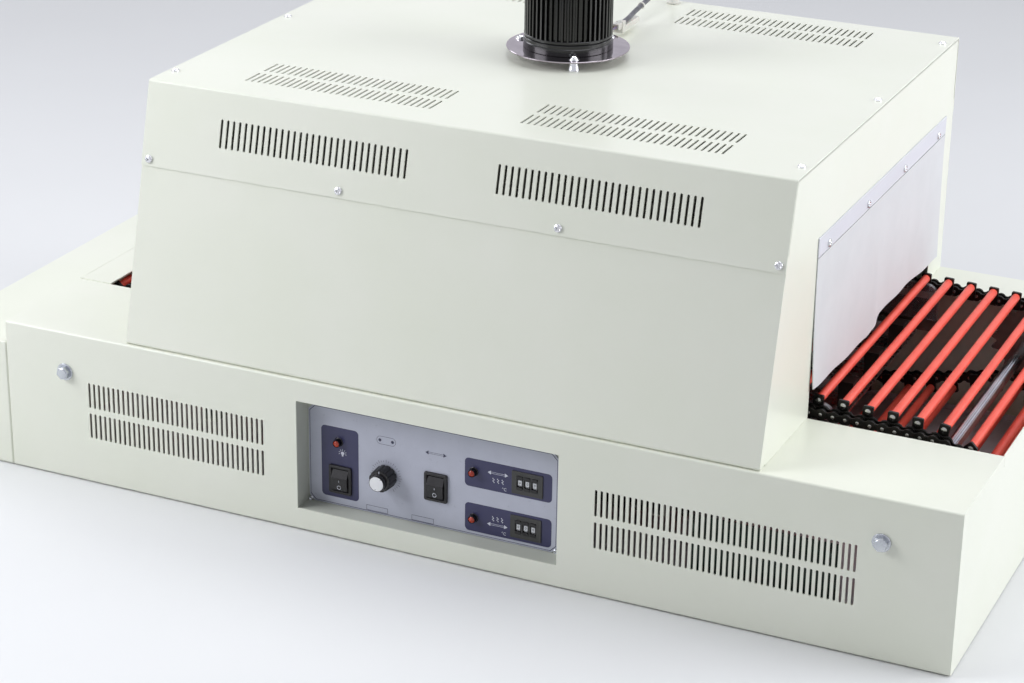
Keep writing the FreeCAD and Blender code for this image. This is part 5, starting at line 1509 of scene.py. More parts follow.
@dataclass(frozen=True)
class Fan:
    """The circulation fan's flange, feet and ribbed motor, with its leads, connector and cable."""

    x: float = -28.0
    y: float = 38.5
    top: float = 439.4
    flange_low: float = 449.4
    flange_high: float = 450.9
    flange_radius: float = 66.0
    bolt_circle: float = 55.8
    bolt_angles: tuple[float, ...] = (-60.0, 60.0, 180.0)
    motor_radius: float = 47.2
    ring_height: float = 7.7
    step_height: float = 3.8
    gap_height: float = 1.0
    body_height: float = 100.0
    cap_height: float = 8.0
    band: float = 3.1
    ribs: int = 48
    groove: float = 3.4
    route: tuple[Point, ...] = (
        (-5.0, 134.0, 455.0), (-5.0, 148.0, 455.0), (-8.0, 174.0, 456.5), (-9.0, 204.0, 459.0),
        (-8.0, 234.0, 464.0),
        (-6.8, 260.0, 470.0), (-6.2, 281.0, 468.5), (-6.0, 290.0, 458.0), (-6.0, 290.0, 445.4),
    )
    cable_radius: float = 2.75
    cable_length: float = 0.176

    def build_cable(self) -> None:
        """Lay the fan's cable as a free cord, with its leads and connector."""
        curve = bpy.data.curves.new("fan_cable_cord", "CURVE")
        curve.dimensions = "3D"
        curve.bevel_depth = self.cable_radius * MM
        curve.bevel_resolution = 6
        curve.use_fill_caps = True
        spline = curve.splines.new("NURBS")
        spline.points.add(len(self.route) - 1)
        points = np.array(self.route) * MM
        spline.points.foreach_set("co", np.hstack([points, np.ones((len(points), 1))]).ravel())
        spline.order_u = 3
        spline.use_endpoint_u = True
        spline.resolution_u = 12
        cable = bpy.data.objects.new("fan_cable_cord", curve)
        bpy.context.scene.collection.objects.link(cable)
        curve.materials.append(CABLE_GREY.build())
        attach(cable, "machine")
        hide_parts("fan_cable")
        leads = self.build_leads()
        plug = self.build_connector()

    def build_leads(self) -> bpy.types.Object:
        """Make the two thin leads from the motor's foot to the connector.

        Returns:
            The leads.
        """
        leads = Solid("fan_leads")
        x, y, z = self.route[0]
        for tint, side in enumerate((-1.6, 1.6)):
            start = self.y + math.sqrt(48.0**2 - (x + side - self.x) ** 2) - 0.4
            places = np.linspace(start, y - 21.5, 9)
            share = np.linspace(0.0, 1.0, 9)
            bow = np.sin(share * math.pi)
            centre = np.stack([x + side + 0.5 * side / 1.6 * bow, places, z + 0.8 * bow], 1)
            angles = np.arange(14) * 2 * math.pi / 14
            circle_points = np.stack([np.cos(angles), np.zeros(14), np.sin(angles)], 1) * 1.1
            leads.loft(centre[:, None, :] + circle_points[None], tint)
        return leads.emit([LEAD_BROWN, LEAD_PURPLE], "cable_sheath", (), bevel=0.0)

    def build_connector(self) -> bpy.types.Object:
        """Make the natural nylon connector with its latch, ribs and cable tie.

        Returns:
            The connector.
        """
        x, y, z = self.route[0]
        plug = Solid("fan_plug")
        plug.prism(rectangle((x - 4.4, z - 3.4), (x + 4.4, z + 3.4), 0.8, 3), y - 22.0, y - 12.0, Axis.Y)
        plug.prism(rectangle((x - 3.9, z - 3.0), (x + 3.9, z + 3.0), 0.8, 3), y - 12.0, y, Axis.Y)
        plug.prism(rectangle((x - 4.4, z - 3.4), (x + 4.4, z + 3.4), 0.8, 3), y - 9.5, y - 7.0, Axis.Y)
        plug.prism(rectangle((x - 1.6, z + 2.9), (x + 1.6, z + 3.45), 0.2, 2), y - 19.0, y - 2.0, Axis.Y)
        for near, far, left, right, low, high in (
            (y - 4.0, y + 22.0, -10.0, 2.0, -11.2, -3.3), (y + 22.0, y + 46.0, -9.2, 1.0, -10.6, -3.9),
        ):
            plug.prism(rectangle((x + left, z + low), (x + right, z + high), 0.8, 3), near, far, Axis.Y)
        tie = np.array(
            [(2.75, -1.6), (3.7, -1.6), (3.9, -1.2), (3.9, 1.2), (3.7, 1.6), (2.75, 1.6), (2.75, -1.6)]
        )
        plug.turned(tie, (-8.9, y + 64.0, z + 3.4), Axis.Y, 28)
        return plug.emit([NATURAL_NYLON], "connector_plastic", ("fan_connector",), bevel=0.3)

    def build(self) -> None:
        """Make the fan's solid pieces above the hood."""
        self.build_flange()
        self.build_motor()
        grommet = np.array([
            (3.0, 0.0), (7.4, 0.0), (8.0, 0.6), (8.0, 2.0), (6.6, 3.4), (5.6, 5.2), (4.6, 6.0), (3.2, 6.0),
            (2.9, 5.5),
        ])
        rubber = Solid("grommet_skin").turned(
            np.vstack([grommet, grommet[:1]]), (-6.0, 290.0, self.top), Axis.Z, 36
        )
        rubber.emit([NATURAL_NYLON], "connector_plastic", ("cable_grommet",), bevel=0.0)

    def build_flange(self) -> None:
        """Make the mirror-bright flange, its tapered feet and screws."""
        low, high, edge = self.flange_low, self.flange_high, self.flange_radius
        disc = Solid("flange_skin").turned(np.array([
            (0.0, low), (edge - 0.3, low), (edge, low + 0.3), (edge, high - 0.3), (edge - 0.3, high),
            (0.0, high),
        ]), (self.x, self.y, 0.0), Axis.Z, 128)
        disc.emit([FLANGE_MIRROR], "flange_chrome", ("fan_flange",), bevel=0.0)
        feet = Solid("fan_feet")
        angles = np.radians(self.bolt_angles)
        xs, ys = self.x + self.bolt_circle * np.cos(angles), self.y + self.bolt_circle * np.sin(angles)
        foot = np.array([
            (0.0, 0.0), (6.0, 0.0), (6.0, 1.0), (5.4, 2.4), (4.6, 6.0), (4.0, 8.6), (4.0, 10.0),
            (0.0, 10.0),
        ])
        for x, y in zip(xs, ys):
            feet.turned(foot, (x, y, self.top), Axis.Z, 32)
            feet.turned(
                np.array([(0.0, 0.0), (5.5, 0.0), (5.6, 0.3), (5.4, 0.8), (0.0, 0.8)]), (x, y, high),
                Axis.Z, 32
            )
        places = np.stack([xs, ys, np.full(3, high + 0.7)], 1)
        feet.copies(pan_head(4.2, 2.6), seats(places, np.tile([0.0, 0.0, 1.0], (3, 1))), 0)
        feet.emit([CHROME], "flange_chrome", ("fan_standoffs",), bevel=0.0)

    def build_motor(self) -> None:
        """Make the motor's stepped foot, ribbed housing and domed cap."""
        step = self.flange_high + self.ring_height
        gap = step + self.step_height
        low = gap + self.gap_height
        high = low + self.body_height
        centre = (self.x, self.y, 0.0)
        motor = Solid("motor_skin")
        motor.turned(np.array([
            (0.0, self.flange_high), (47.6, self.flange_high), (48.0, self.flange_high + 0.5),
            (48.0, step - 0.8),
            (47.5, step - 0.1), (47.0, step + 0.2), (47.0, gap - 0.6), (46.5, gap), (44.0, gap),
            (44.0, low + 0.1),
            (0.0, low + 0.1),
        ]), centre, Axis.Z, 128)
        edge = self.motor_radius
        for start, end in ((low, low + self.band), (high - self.band, high)):
            motor.turned(np.array([
                (0.0, start), (edge - 0.5, start), (edge, start + 0.5), (edge, end - 0.5),
                (edge - 0.5, end), (0.0, end),
            ]), centre, Axis.Z, 128)
        steps = 12
        angles = np.arange(self.ribs * steps) * 2 * math.pi / (self.ribs * steps)
        wave = np.cos(angles * self.ribs)
        reach = edge - 0.25 - self.groove * (0.5 - 0.5 * np.clip(wave * 2.2, -1, 1))
        rib = np.stack([reach * np.cos(angles), reach * np.sin(angles)], 1) + np.array([self.x, self.y])
        motor.prism(rib, low + self.band - 0.1, high - self.band + 0.1, Axis.Z)
        motor.emit([MOTOR_BLACK], "motor_black", ("fan_motor_body",), bevel=0.0)
        cap_high = high + self.cap_height
        cap = Solid("motor_cap_skin").turned(np.array([
            (0.0, high), (edge - 0.4, high), (edge, high + 0.4), (edge, high + 3.6),
            (edge - 0.6, high + 5.4),
            (edge - 2.0, high + 6.9), (edge - 4.2, cap_high), (30.0, cap_high), (29.2, cap_high - 1.0),
            (12.0, cap_high - 1.0), (11.4, cap_high), (0.0, cap_high),
        ]), centre, Axis.Z, 96)
        cap.emit([MOTOR_BLACK], "motor_black", ("fan_motor_cap",), bevel=0.0)


@dataclass(frozen=True)
class Curtains:
    """The cloth curtains over both mouths and the strips that clamp them."""

    front: float = -166.0
    width: float = 438.5
    hinge: float = 336.6
    clamp_top: float = 357.8
    corner: float = 200.5
    low: float = 190.4
    low_y: float = -22.0
    step: float = 204.0
    step_span: tuple[float, float] = (12.0, 54.0)
    rear_low: float = 193.0
    thickness: float = 1.0
    columns: int = 148
    rows: int = 52

    def lower_edge(self, y: Array) -> Array:
        """Give the height of the lower edge, which steps up and then falls to the rear."""
        start, end = self.step_span
        share = np.clip((y - start) / (end - start), 0, 1)
        smooth = share * share * (3 - 2 * share)
        rear = self.front + self.width
        fall = np.clip((y - end) / (rear - end), 0, 1) * (self.rear_low - self.step)
        lift = np.clip((self.low_y - y) / (self.low_y - self.front), 0, 1) * (self.corner - self.low)
        return self.low + lift + smooth * (self.step - self.low) + fall

    def build(self, hood: Hood) -> None:
        """Make both curtains with their strips.

        Args:
            hood: The hood whose mouths they cover.
        """
        strips = Solid("clamp_strips")
        rear = self.front + self.width
        for near, far in ((hood.right, hood.right + 1.5), (hood.left - 1.5, hood.left)):
            strips.block((near, self.front, 337.5), (far, rear, self.clamp_top))
        strips.emit([STRIP_CREAM], "strip_paint", ("curtain_strips",), bevel=0.4)
        self.hang("exit_curtain", hood.right + 0.3, 1.0, 0.0)
        self.hang("entry_curtain", hood.left - 0.3, -1.0, 1.9)

    def hang(self, node: str, x: float, way: float, phase: float) -> None:
        """Hang one curtain.

        Args:
            node: The CAD node and body it stands for.
            x: X of its inner face.
            way: Which way is outwards.
            phase: Shift of its waves.
        """
        across = np.linspace(0.0, 1.0, self.columns)
        down = np.linspace(0.0, 1.0, self.rows)
        y = np.broadcast_to(self.front + across * self.width, (self.rows, self.columns))
        z = self.hinge + (self.lower_edge(y) - self.hinge) * down[:, None]
        wave = 1 - np.cos(down[:, None] * math.pi / 2)
        out = 0.9 * (1 + np.sin(across * 15.0 + phase)) * wave
        out = out + 0.7 * (1 + np.sin(across * 31.0 - phase)) * wave**2
        crease = 1.8 * np.exp(-((y - 32.5 - 6 * (1 - down[:, None])) / 7.0) ** 2) * wave
        corner = 1.5 * np.exp(-((y - self.front) / 26.0) ** 2) * down[:, None] ** 3
        out = out + crease + corner
        outer = np.stack([x + way * (out + self.thickness), y, z], -1)
        inner = np.stack([x + way * out, y, z], -1)
        cloth = Solid(f"{node}_cloth")
        total = self.rows * self.columns
        border = np.concatenate([
            np.arange(self.columns), np.arange(2 * self.columns - 1, total, self.columns),
            total - 2 - np.arange(self.columns - 1), np.arange(total - 2 * self.columns, 0, -self.columns),
        ])
        ahead = np.roll(border, -1)
        rim = np.stack([border, ahead, ahead + total, border + total], 1)
        grid = ring_faces(self.rows, self.columns, False, False)
        cloth.add(
            np.concatenate([outer.reshape(-1, 3), inner.reshape(-1, 3)]), [grid, grid[:, ::-1] + total, rim]
        )
        piece = cloth.emit([CLOTH], "curtain_cloth", (node,), body=node, bevel=0.0)


def lettering(text: str, size: float, centre: tuple[float, float], level: float, depth: float) -> Solid:
    """Make thin raised signs on a plane square to Y, read from the front.

    Args:
        text: What they say.
        size: Height of the line.
        centre: X and Z of its middle.
        level: Y of the surface that they stand on.
        depth: How far they stand out.

    Returns:
        The mesh.
    """
    curve = bpy.data.curves.new("sign", "FONT")
    curve.body = text
    curve.size = size
    curve.align_x = "CENTER"
    curve.align_y = "CENTER"
    curve.resolution_u = 4
    curve.extrude = depth / 2
    holder = bpy.data.objects.new("sign", curve)
    mesh = bpy.data.meshes.new_from_object(holder)
    flat = np.empty(len(mesh.vertices) * 3)
    mesh.vertices.foreach_get("co", flat)
    flat = flat.reshape(-1, 3)
    points = np.stack([flat[:, 0] + centre[0], level - depth / 2 - flat[:, 2], flat[:, 1] + centre[1]], 1)
    sign = Solid("sign")
    sign.blocks.append(points)
    sign.count = len(points)
    sign.faces = [tuple(polygon.vertices) for polygon in mesh.polygons]
    sign.tints = [0] * len(sign.faces)
    bpy.data.objects.remove(holder)
    bpy.data.meshes.remove(mesh)
    bpy.data.curves.remove(curve)
    return sign


@dataclass(frozen=True)
class Panel:
    """The control panel: printed label, rockers, knob, lamps and temperature setters."""

    label_y: float = -283.3
    label: tuple[float, float, float, float] = (-170.8, 111.0, 24.3, 134.0)
    navy: tuple[tuple[float, float, float, float], ...] = (
        (-156.1, -113.0, 33.2, 112.8), (8.0, 104.2, 78.6, 109.8), (8.5, 104.4, 28.8, 60.2),
    )
    lamps: tuple[tuple[float, float], ...] = ((-135.8, 96.6), (18.0, 95.5), (18.5, 44.1))
    rockers: tuple[tuple[str, float, float], ...] = (
        ("power_rocker", -134.0, 54.2), ("heater_rocker", -24.1, 69.2)
    )
    knob: tuple[float, float] = (-81.2, 69.6)
    setters: tuple[tuple[str, float, float], ...] = (("upper", 77.3, 93.8), ("lower", 76.4, 44.7))
    bezel: tuple[float, float] = (26.2, 31.6)
    bezel_proud: float = 2.6
    rocker_size: tuple[float, float] = (18.8, 11.2)
    wheel_pitch: float = 8.15
    wheel_radius: float = 9.5
    wheel_axis: float = -274.2
    print_depth: float = 0.12

    def build(self) -> None:
        """Make everything in the recess."""
        self.build_label()
        self.build_print()
        self.build_switches()
        self.build_knob()
        self.build_lamps()
        self.build_setters()

    def holes(self) -> list[Array]:
        """Outline the label's openings for the controls.

        Returns:
            The outlines.
        """
        outlines = [rectangle((x - 11.1, z - 13.8), (x + 11.1, z + 13.8), 0.5) for _, x, z in self.rockers]
        outlines += [rectangle((x - 16.2, z - 11.6), (x + 16.2, z + 11.6), 0.5) for _, x, z in self.setters]
        outlines += [circle(place, 3.9, 24) for place in self.lamps]
        outlines.append(circle(self.knob, 4.0, 24))
        return outlines

    def plate(self, name: str, outlines: list[Array], near: float, depth: float) -> Solid:
        """Make a flat plate square to Y with holes.

        Args:
            name: Its name.
            outlines: Outer outline and holes.
            near: Y of its front.
            depth: Its thickness.

        Returns:
            The mesh.
        """
        mesh = filled(name, outlines)
        flat = flat_points(mesh)
        faces = [tuple(polygon.vertices) for polygon in mesh.polygons]
        bpy.data.meshes.remove(mesh)
        return thick(name, spatial(flat, near, Axis.Y), spatial(flat, near + depth, Axis.Y), faces)

    def build_label(self) -> None:
        """Make the label plate, its printed border and its corner screws."""
        left, right, low, high = self.label
        cut = 6.0
        outline = np.array([
            (left + cut, low), (right - cut, low), (right, low + cut), (right, high - cut),
            (right - cut, high), (left + cut, high), (left, high - cut), (left, low + cut),
        ])
        plate = self.plate(
            "label_skin", [rounded_outline(outline, 0.5, 2), *self.holes()], self.label_y, 1.0
        )
        plate.emit([LABEL_GREY], "label_face", ("label_plate",), bevel=0.2)
        inner = 1.3
        rim = Solid("label_border")
        outer = outline + np.sign(np.mean(outline, 0) - outline) * inner
        inside = outline + np.sign(np.mean(outline, 0) - outline) * (inner + 0.5)
        near, far = self.label_y - self.print_depth, self.label_y + 0.05
        rings = np.stack([
            spatial(outer, near, Axis.Y), spatial(outer, far, Axis.Y), spatial(inside, far, Axis.Y),
            spatial(inside, near, Axis.Y),
        ])
        rim.add(rings.reshape(-1, 3), [ring_faces(4, len(outline), True, True)])
        rim.emit([PRINT_DARK], "label_face", (), bevel=0.0)
        screws = Solid("label_screws")
        places = np.array([
            (left + 1.6, self.label_y + 0.4, low + 1.6), (right - 1.6, self.label_y + 0.4, low + 1.6),
        ])
        screws.copies(pan_head(2.6, 1.8), seats(places, np.tile([0.0, -1.0, 0.0], (2, 1))))
        screws.emit([ZINC], "screw_chrome", (), bevel=0.0)

    def build_print(self) -> None:
        """Print the navy boxes, arrows, dial marks and signs as thin raised shapes."""
        near, far = self.label_y - self.print_depth, self.label_y + 0.05
        boxes = Solid("navy_boxes")
        openings = self.holes()
        for left, right, low, high in self.navy:
            inside = [
                hole for hole in openings
                if left < hole[:, 0].mean() < right and low < hole[:, 1].mean() < high
            ]
            box = self.plate(
                "box", [rectangle((left, low), (right, high), 4.5, 6), *inside], near, far - near
            )
            boxes.copies(box, np.eye(4)[None])
        boxes.emit([NAVY], "label_face", (), bevel=0.0)
        dark, white = Solid("dark_print"), Solid("white_print")
        self.draw_arrow(dark, (-36.5, -12.5), 106.0, near, far)
        self.draw_capsule(dark, (-81.0, 108.8), (22.0, 9.0), near, far)
        for x in (-88.2, -73.8):
            dark.prism(circle((x, 108.8), 1.7, 20), near, far, Axis.Y)
        self.draw_dial(dark, near, far)
        for left, right, low, high in ((-104.2, -79.5, 26.6, 32.4), (-52.0, -27.0, 26.4, 32.2)):
            self.draw_frame(dark, (left, low), (right, high), near, far)
        level = near
        white_near = near - self.print_depth
        for row, z in enumerate((98.4, 41.0)):
            self.draw_arrow(white, (33.4, 56.0), z, white_near, level)
            steps = (90.4, 47.6)[row]
            for index in range(3):
                self.draw_flame(white, 40.0 + 5.0 * index, steps, white_near, level)
            unit = (82.6, 33.2)[row]
            white.copies(lettering("°C", 4.6, (52.0, unit), level, self.print_depth), np.eye(4)[None])
        self.draw_lamp_sign(white, (-131.5, 84.6), white_near, level)
        dark.emit([PRINT_DARK], "label_face", (), bevel=0.0)
        white.emit([PRINT_WHITE], "label_face", (), bevel=0.0)

    def draw_frame(
        self, target: Solid, low: tuple[float, float], high: tuple[float, float], near: float, far: float,
    ) -> None:
        """Draw a rectangle's border with a thin line."""
        outer = rectangle(low, high)
        inner = rectangle((low[0] + 0.35, low[1] + 0.35), (high[0] - 0.35, high[1] - 0.35))
        self.ring(target, outer, inner, near, far)

    def draw_capsule(
        self, target: Solid, centre: tuple[float, float], size: tuple[float, float], near: float,
        far: float,
    ) -> None:
        """Draw a round-ended outline with a thin line."""
        x, z = centre
        shapes = []
        for inset in (0.0, 0.3):
            half_width, half_height = size[0] / 2 - inset, size[1] / 2 - inset
            shapes.append(
                rectangle(
                    (x - half_width, z - half_height), (x + half_width, z + half_height),
                    half_height - 0.02, 8
                )
            )
        self.ring(target, shapes[0], shapes[1], near, far)

    def ring(self, target: Solid, outer: Array, inner: Array, near: float, far: float) -> None:
        """Add a flat ring between two outlines of equal count."""
        rings = np.stack([
            spatial(outer, near, Axis.Y), spatial(outer, far, Axis.Y), spatial(inner, far, Axis.Y),
            spatial(inner, near, Axis.Y),
        ])
        target.add(rings.reshape(-1, 3), [ring_faces(4, len(outer), True, True)])

    def draw_arrow(self, target: Solid, ends: tuple[float, float], z: float, near: float, far: float) -> None:
        """Draw a two-headed arrow whose shaft is two thin lines."""
        left, right = ends
        for tip, way in ((left, 1.0), (right, -1.0)):
            head = np.array([(tip, z), (tip + way * 3.6, z + 2.2), (tip + way * 3.6, z - 2.2)])
            target.prism(head, near, far, Axis.Y)
        for level in (z - 0.9, z + 0.6):
            target.prism(rectangle((left + 3.4, level), (right - 3.4, level + 0.3)), near, far, Axis.Y)

    def draw_flame(self, target: Solid, x: float, z: float, near: float, far: float) -> None:
        """Draw one rising wave of heat."""
        height = np.linspace(-2.6, 2.6, 15)
        centre = x + 0.8 * np.sin(height * 2.2)
        half = 0.42
        outline = np.vstack([
            np.stack([centre - half, z + height], 1), np.stack([centre + half, z + height], 1)[::-1],
        ])
        target.prism(outline, near, far, Axis.Y)

    def draw_lamp_sign(self, target: Solid, centre: tuple[float, float], near: float, far: float) -> None:
        """Draw a glowing lamp: a bulb with rays."""
        x, z = centre
        target.prism(circle((x, z), 1.9, 20), near, far, Axis.Y)
        target.prism(rectangle((x - 0.9, z - 3.4), (x + 0.9, z - 1.6)), near, far, Axis.Y)
        for angle in np.radians(np.arange(-15, 196, 35)):
            direction = np.array([math.cos(angle), math.sin(angle)])
            side = np.array([-direction[1], direction[0]]) * 0.22
            start, end = direction * 2.9, direction * 4.7
            ray = np.array([start - side, end - side, end + side, start + side]) + np.array([x, z])
            target.prism(ray, near, far, Axis.Y)

    def draw_dial(self, target: Solid, near: float, far: float) -> None:
        """Draw the scale's ticks round the knob."""
        for step in np.linspace(0.0, 1.0, 31):
            angle = math.radians(240 - 300 * step)
            direction = np.array([math.cos(angle), math.sin(angle)])
            side = np.array([-direction[1], direction[0]]) * 0.16
            major = abs(step * 10 - round(step * 10)) < 0.01
            start, end = direction * 15.2, direction * (18.2 if major else 17.0)
            tick = np.array([start - side, end - side, end + side, start + side]) + np.array(self.knob)
            target.prism(tick, near, far, Axis.Y)

    def build_switches(self) -> None:
        """Make the switch bezels and their rockers."""
        width, height = self.bezel
        front = self.label_y - self.bezel_proud
        cases = Solid("switch_bezels")
        for _, x, z in self.rockers:
            outer = rectangle((x - width / 2, z - height / 2), (x + width / 2, z + height / 2), 2.0, 5)
            inner = rectangle((x - 9.9, z - 12.9), (x + 9.9, z + 12.9), 0.8, 5)
            rings = np.stack([
                spatial(outer, self.label_y, Axis.Y), spatial(outer, front + 0.8, Axis.Y),
                spatial(outer * 0.97 + np.array([x, z]) * 0.03, front, Axis.Y),
                spatial(inner, front, Axis.Y), spatial(inner, self.label_y + 20.0, Axis.Y), 
                spatial(inner * 1.05 - np.array([x, z]) * 0.05, self.label_y + 22.0, Axis.Y),
                spatial(inner * 1.05 - np.array([x, z]) * 0.05, self.label_y + 0.5, Axis.Y),
            ])
            cases.add(rings.reshape(-1, 3), [ring_faces(7, len(outer), True, True)])
            cases.block((x - 9.9, self.label_y + 19.0, z - 12.9), (x + 9.9, self.label_y + 20.0, z + 12.9))
        cases.emit([SWITCH_BLACK], "switch_black", ("rocker_cases",), bevel=0.25)
        for node, x, z in self.rockers:
            self.build_rocker(node, x, z)

    def build_rocker(self, node: str, x: float, z: float) -> None:
        """Make one rocker with its two faces, the grip ridge and its signs."""
        half_width, half_height = self.rocker_size[0] / 2, self.rocker_size[1]
        ridge, foot, brow, back = -4.9, -4.2, -0.4, 4.6
        profile = rounded_outline(np.array([
            (foot, -half_height), (ridge, 3.0), (brow, half_height), (back, half_height),
            (back, -half_height),
        ]), np.array([0.6, 1.0, 0.5, 0.3, 0.3]), 4)
        rocker = Solid(f"{node}_skin").prism(
            profile + np.array([self.label_y, z]), x - half_width, x + half_width, Axis.X,
        )
        marks = Solid("marks")
        near = self.label_y + ridge - 0.1
        self.ring(
            marks, circle((x, z - 7.4), 2.3, 32), circle((x, z - 7.4), 1.75, 32), near + 0.3, near + 1.2
        )
        marks.prism(rectangle((x - 0.3, z - 1.6), (x + 0.3, z + 0.9)), near, near + 0.6, Axis.Y)
        rocker.copies(marks, np.eye(4)[None], 1)
        rocker.emit([ROCKER_BLACK, PRINT_WHITE], "rocker_black", (node,), body=node, bevel=0.3)

    def build_knob(self) -> None:
        """Make the fluted knob with its bright cap and pointer."""
        x, z = self.knob
        seat, skirt, front = self.label_y - 0.3, self.label_y - 16.2, self.label_y - 22.4
        count = 144
        angles = np.arange(count) * 2 * math.pi / count
        flute = 1 - 0.085 * np.clip(1.7 * np.cos(angles * 12) - 0.7, 0, 1)
        knob = Solid("speed_knob_skin")
        knob.turned(np.array([
            (0.0, seat), (11.9, seat), (12.7, seat - 0.6), (12.8, seat - 1.6), (12.1, skirt + 1.2),
            (11.6, skirt + 0.3),
            (10.6, skirt), (0.0, skirt),
        ]), (x, 0.0, z), Axis.Y, count, 0, flute)
        knob.turned(np.array([
            (0.0, skirt + 0.5), (9.0, skirt + 0.5), (8.8, skirt - 1.0), (8.7, front + 1.2),
            (8.4, front + 0.4),
            (8.0, front + 0.1), (7.9, front + 0.25), (0.0, front + 0.25),
        ]), (x, 0.0, z), Axis.Y, 64, 0)
        knob.turned(
            np.array([(0.0, front + 0.4), (7.9, front + 0.4), (7.7, front + 0.05), (0.0, front)]),
            (x, 0.0, z), Axis.Y, 64, 1
        )
        knob.prism(rectangle((x - 0.4, z + 9.0), (x + 0.4, z + 11.4)), skirt - 0.1, skirt + 0.4, Axis.Y, 2)
        knob.emit(
            [ROCKER_BLACK, KNOB_CAP, PRINT_WHITE], "knob_black", ("speed_knob",), body="speed_knob",
            bevel=0.0
        )

    def build_lamps(self) -> None:
        """Make the dark plated barrels and the red lenses of the indicator lamps."""
        rings, lenses = Solid("lamp_rings"), Solid("lamp_domes")
        face = self.label_y
        for x, z in self.lamps:
            rings.turned(np.array([
                (3.4, face + 0.3), (5.0, face + 0.3), (5.0, face - 0.5), (4.3, face - 0.9),
                (4.2, face - 5.6),
                (3.9, face - 6.2), (3.5, face - 6.2), (3.4, face - 5.8), (3.4, face + 0.3),
            ]), (x, 0.0, z), Axis.Y, 36)
            lenses.turned(np.array([
                (0.0, face + 4.0), (3.35, face + 4.0), (3.35, face - 5.6), (3.0, face - 6.3),
                (2.1, face - 6.9),
                (1.0, face - 7.2), (0.0, face - 7.25),
            ]), (x, 0.0, z), Axis.Y, 36)
        rings.emit([LAMP_BLACK], "lamp_chrome", ("lamp_bezels",), bevel=0.0)
        lenses.emit([LENS_RED], "lamp_red", ("lamp_lenses",), bevel=0.0)

    def build_setters(self) -> None:
        """Make the setters' cases and their number wheels."""
        front, back = self.label_y - 1.2, self.label_y + 2.0
        cases, marks = Solid("setter_cases"), Solid("setter_marks")
        for _, x, z in self.setters:
            outer = rectangle((x - 17.0, z - 12.4), (x + 17.0, z + 12.4), 0.8, 2)
            windows = []
            for index in (-1, 0, 1):
                wheel_x = x + index * self.wheel_pitch
                windows.append(rectangle((wheel_x - 3.3, z - 7.5), (wheel_x + 3.3, z + 7.5), 0.4, 2))
                for way in (-1, 1):
                    low, high = sorted((z + way * 4.3, z + way * 7.6))
                    button = rectangle((wheel_x - 3.35, low), (wheel_x + 3.35, high), 1.4, 4)
                    marks.prism(button, front - 0.8, front + 0.5, Axis.Y)
            case = self.plate("case", [outer, *windows], front, back - front)
            cases.copies(case, np.eye(4)[None])
            cases.block(
                (x - 16.0, self.label_y + 22.0, z - 11.4), (x + 16.0, self.label_y + 23.0, z + 11.4)
            )
            for way in (-1, 1):
                cases.block(
                    (x - 16.0, back, z + way * 11.0 - 0.5), (
                        x + 16.0, self.label_y + 22.5, z + way * 11.0 + 0.5
                    )
                )
        cases.emit([SETTER_GREY], "setter_black", ("setter_housings",), bevel=0.25)
        marks.emit([WHEEL_BLACK], "setter_black", (), bevel=0.0)
        for row, x, z in self.setters:
            for index in range(3):
                self.build_wheel(f"{row}_number_wheel_{index + 1}", x + (index - 1) * self.wheel_pitch, z)

    def build_wheel(self, node: str, x: float, z: float) -> None:
        """Make one ten-sided number wheel with a digit on every side."""
        count = 10
        corner = self.wheel_radius / math.cos(math.pi / count)
        angles = (np.arange(count) + 0.5) * 2 * math.pi / count
        outline = np.stack([self.wheel_axis - corner * np.cos(angles), z + corner * np.sin(angles)], 1)
        wheel = Solid(f"{node}_skin").prism(outline, x - 3.0, x + 3.0, Axis.X)
        field = Solid("field").prism(
            rectangle((-1.9, -2.8), (1.9, 2.8), 0.3, 2), -self.wheel_radius - 0.1, -9.0, Axis.Y
        )
        for digit in range(count):
            angle = -2 * math.pi * digit / count
            place = np.array([
                (1.0, 0.0, 0.0, x), (0.0, math.cos(angle), -math.sin(angle), self.wheel_axis),
                (0.0, math.sin(angle), math.cos(angle), z), (0.0, 0.0, 0.0, 1.0),
            ])[None]
            wheel.copies(field, place, 1)
            wheel.copies(lettering(str(digit), 3.9, (0.0, 0.0), -self.wheel_radius - 0.1, 0.08), place, 0)
        wheel.emit([WHEEL_BLACK, DIGIT_WHITE], "wheel_black", (node,), body=node, bevel=0.0)


FRAME_FINISHES = {
    "base_bottom_pan": PAN_GREY, "chamber_liner": BRIGHT_SHEET, "lower_reflector": BRIGHT_SHEET,
    # The heater holders take the steel darkened into painted shade.
    "heater_tubes": QUARTZ, "heater_holders": HOLDER_PAINTED_SHADE, "fan_shaft": PIN_STEEL,
    "fan_impeller": BRIGHT_SHEET,
    "conveyor_frame": BARE_STEEL, "drive_tube": BARE_STEEL, "driven_sprocket": BARE_STEEL,
    "gearmotor": GREY_ENAMEL, "gearmotor_sprocket": BARE_STEEL, "drive_chain": CHAIN_BLACK,
    # The recess box takes the ivory darkened into painted shade.
    "recess_box": RECESS_PAINTED_SHADE, "base_left_end": IVORY, "speed_potentiometer": BRIGHT_SHEET,
    "mains_gland": RUBBER, "control_board": BOARD_GREEN,
}


def dress_frame() -> None:
    """Give the frame's own shown nodes their finishes and rounded edges."""
    for name, finish in FRAME_FINISHES.items():
        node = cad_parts[name]
        node.data.materials.clear()
        node.data.materials.append(finish.build())
        edge = node.modifiers.new("rounded_edges", "BEVEL")
        edge.width = 0.2 * MM
        edge.segments = 2
        edge.limit_method = "ANGLE"
        edge.angle_limit = math.radians(40)


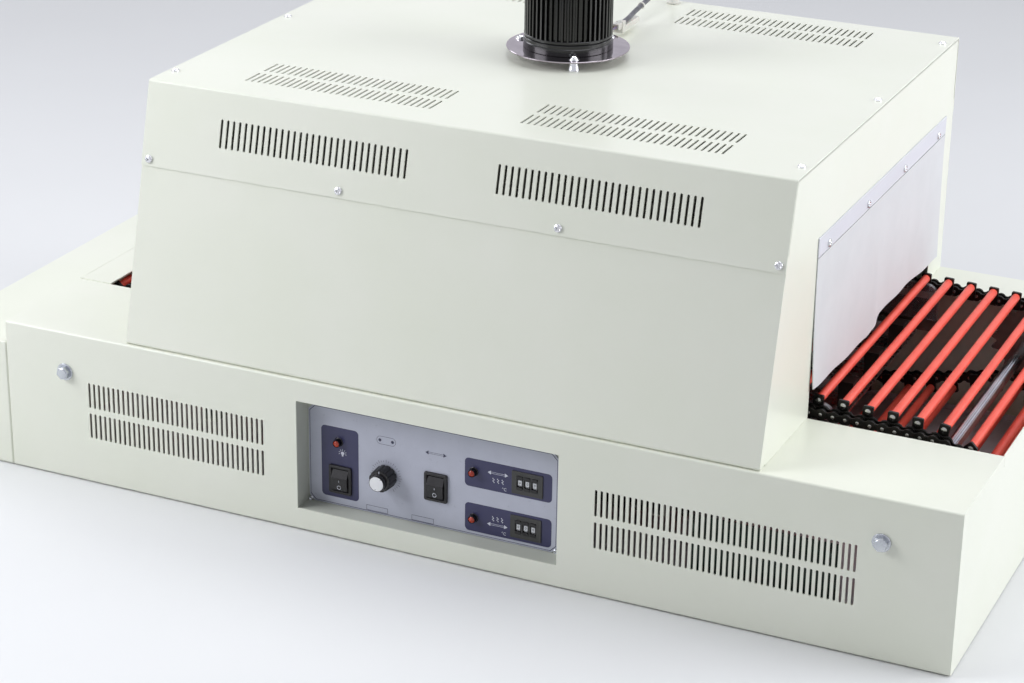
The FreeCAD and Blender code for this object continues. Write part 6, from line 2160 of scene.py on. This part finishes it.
def main() -> None:
    """Build the studio and every sub-assembly."""
    logging.basicConfig(level=logging.INFO)
    studio = Studio()
    studio.set_camera()
    fan = Fan()
    fan.build_cable()
    studio.build()
    LOG.info("camera, cable and studio are made")
    hood, belt = Hood(), Belt()
    Cabinet().build()
    hood.build()
    LOG.info("cabinet and hood are folded")
    fan.build()
    Fasteners().build(hood, belt)
    Curtains().build(hood)
    belt.build()
    LOG.info("fan, curtains and belt are made")
    Panel().build()
    dress_frame()
    LOG.info("panel is made and the frame is dressed")


if __name__ == "__main__":
    main()
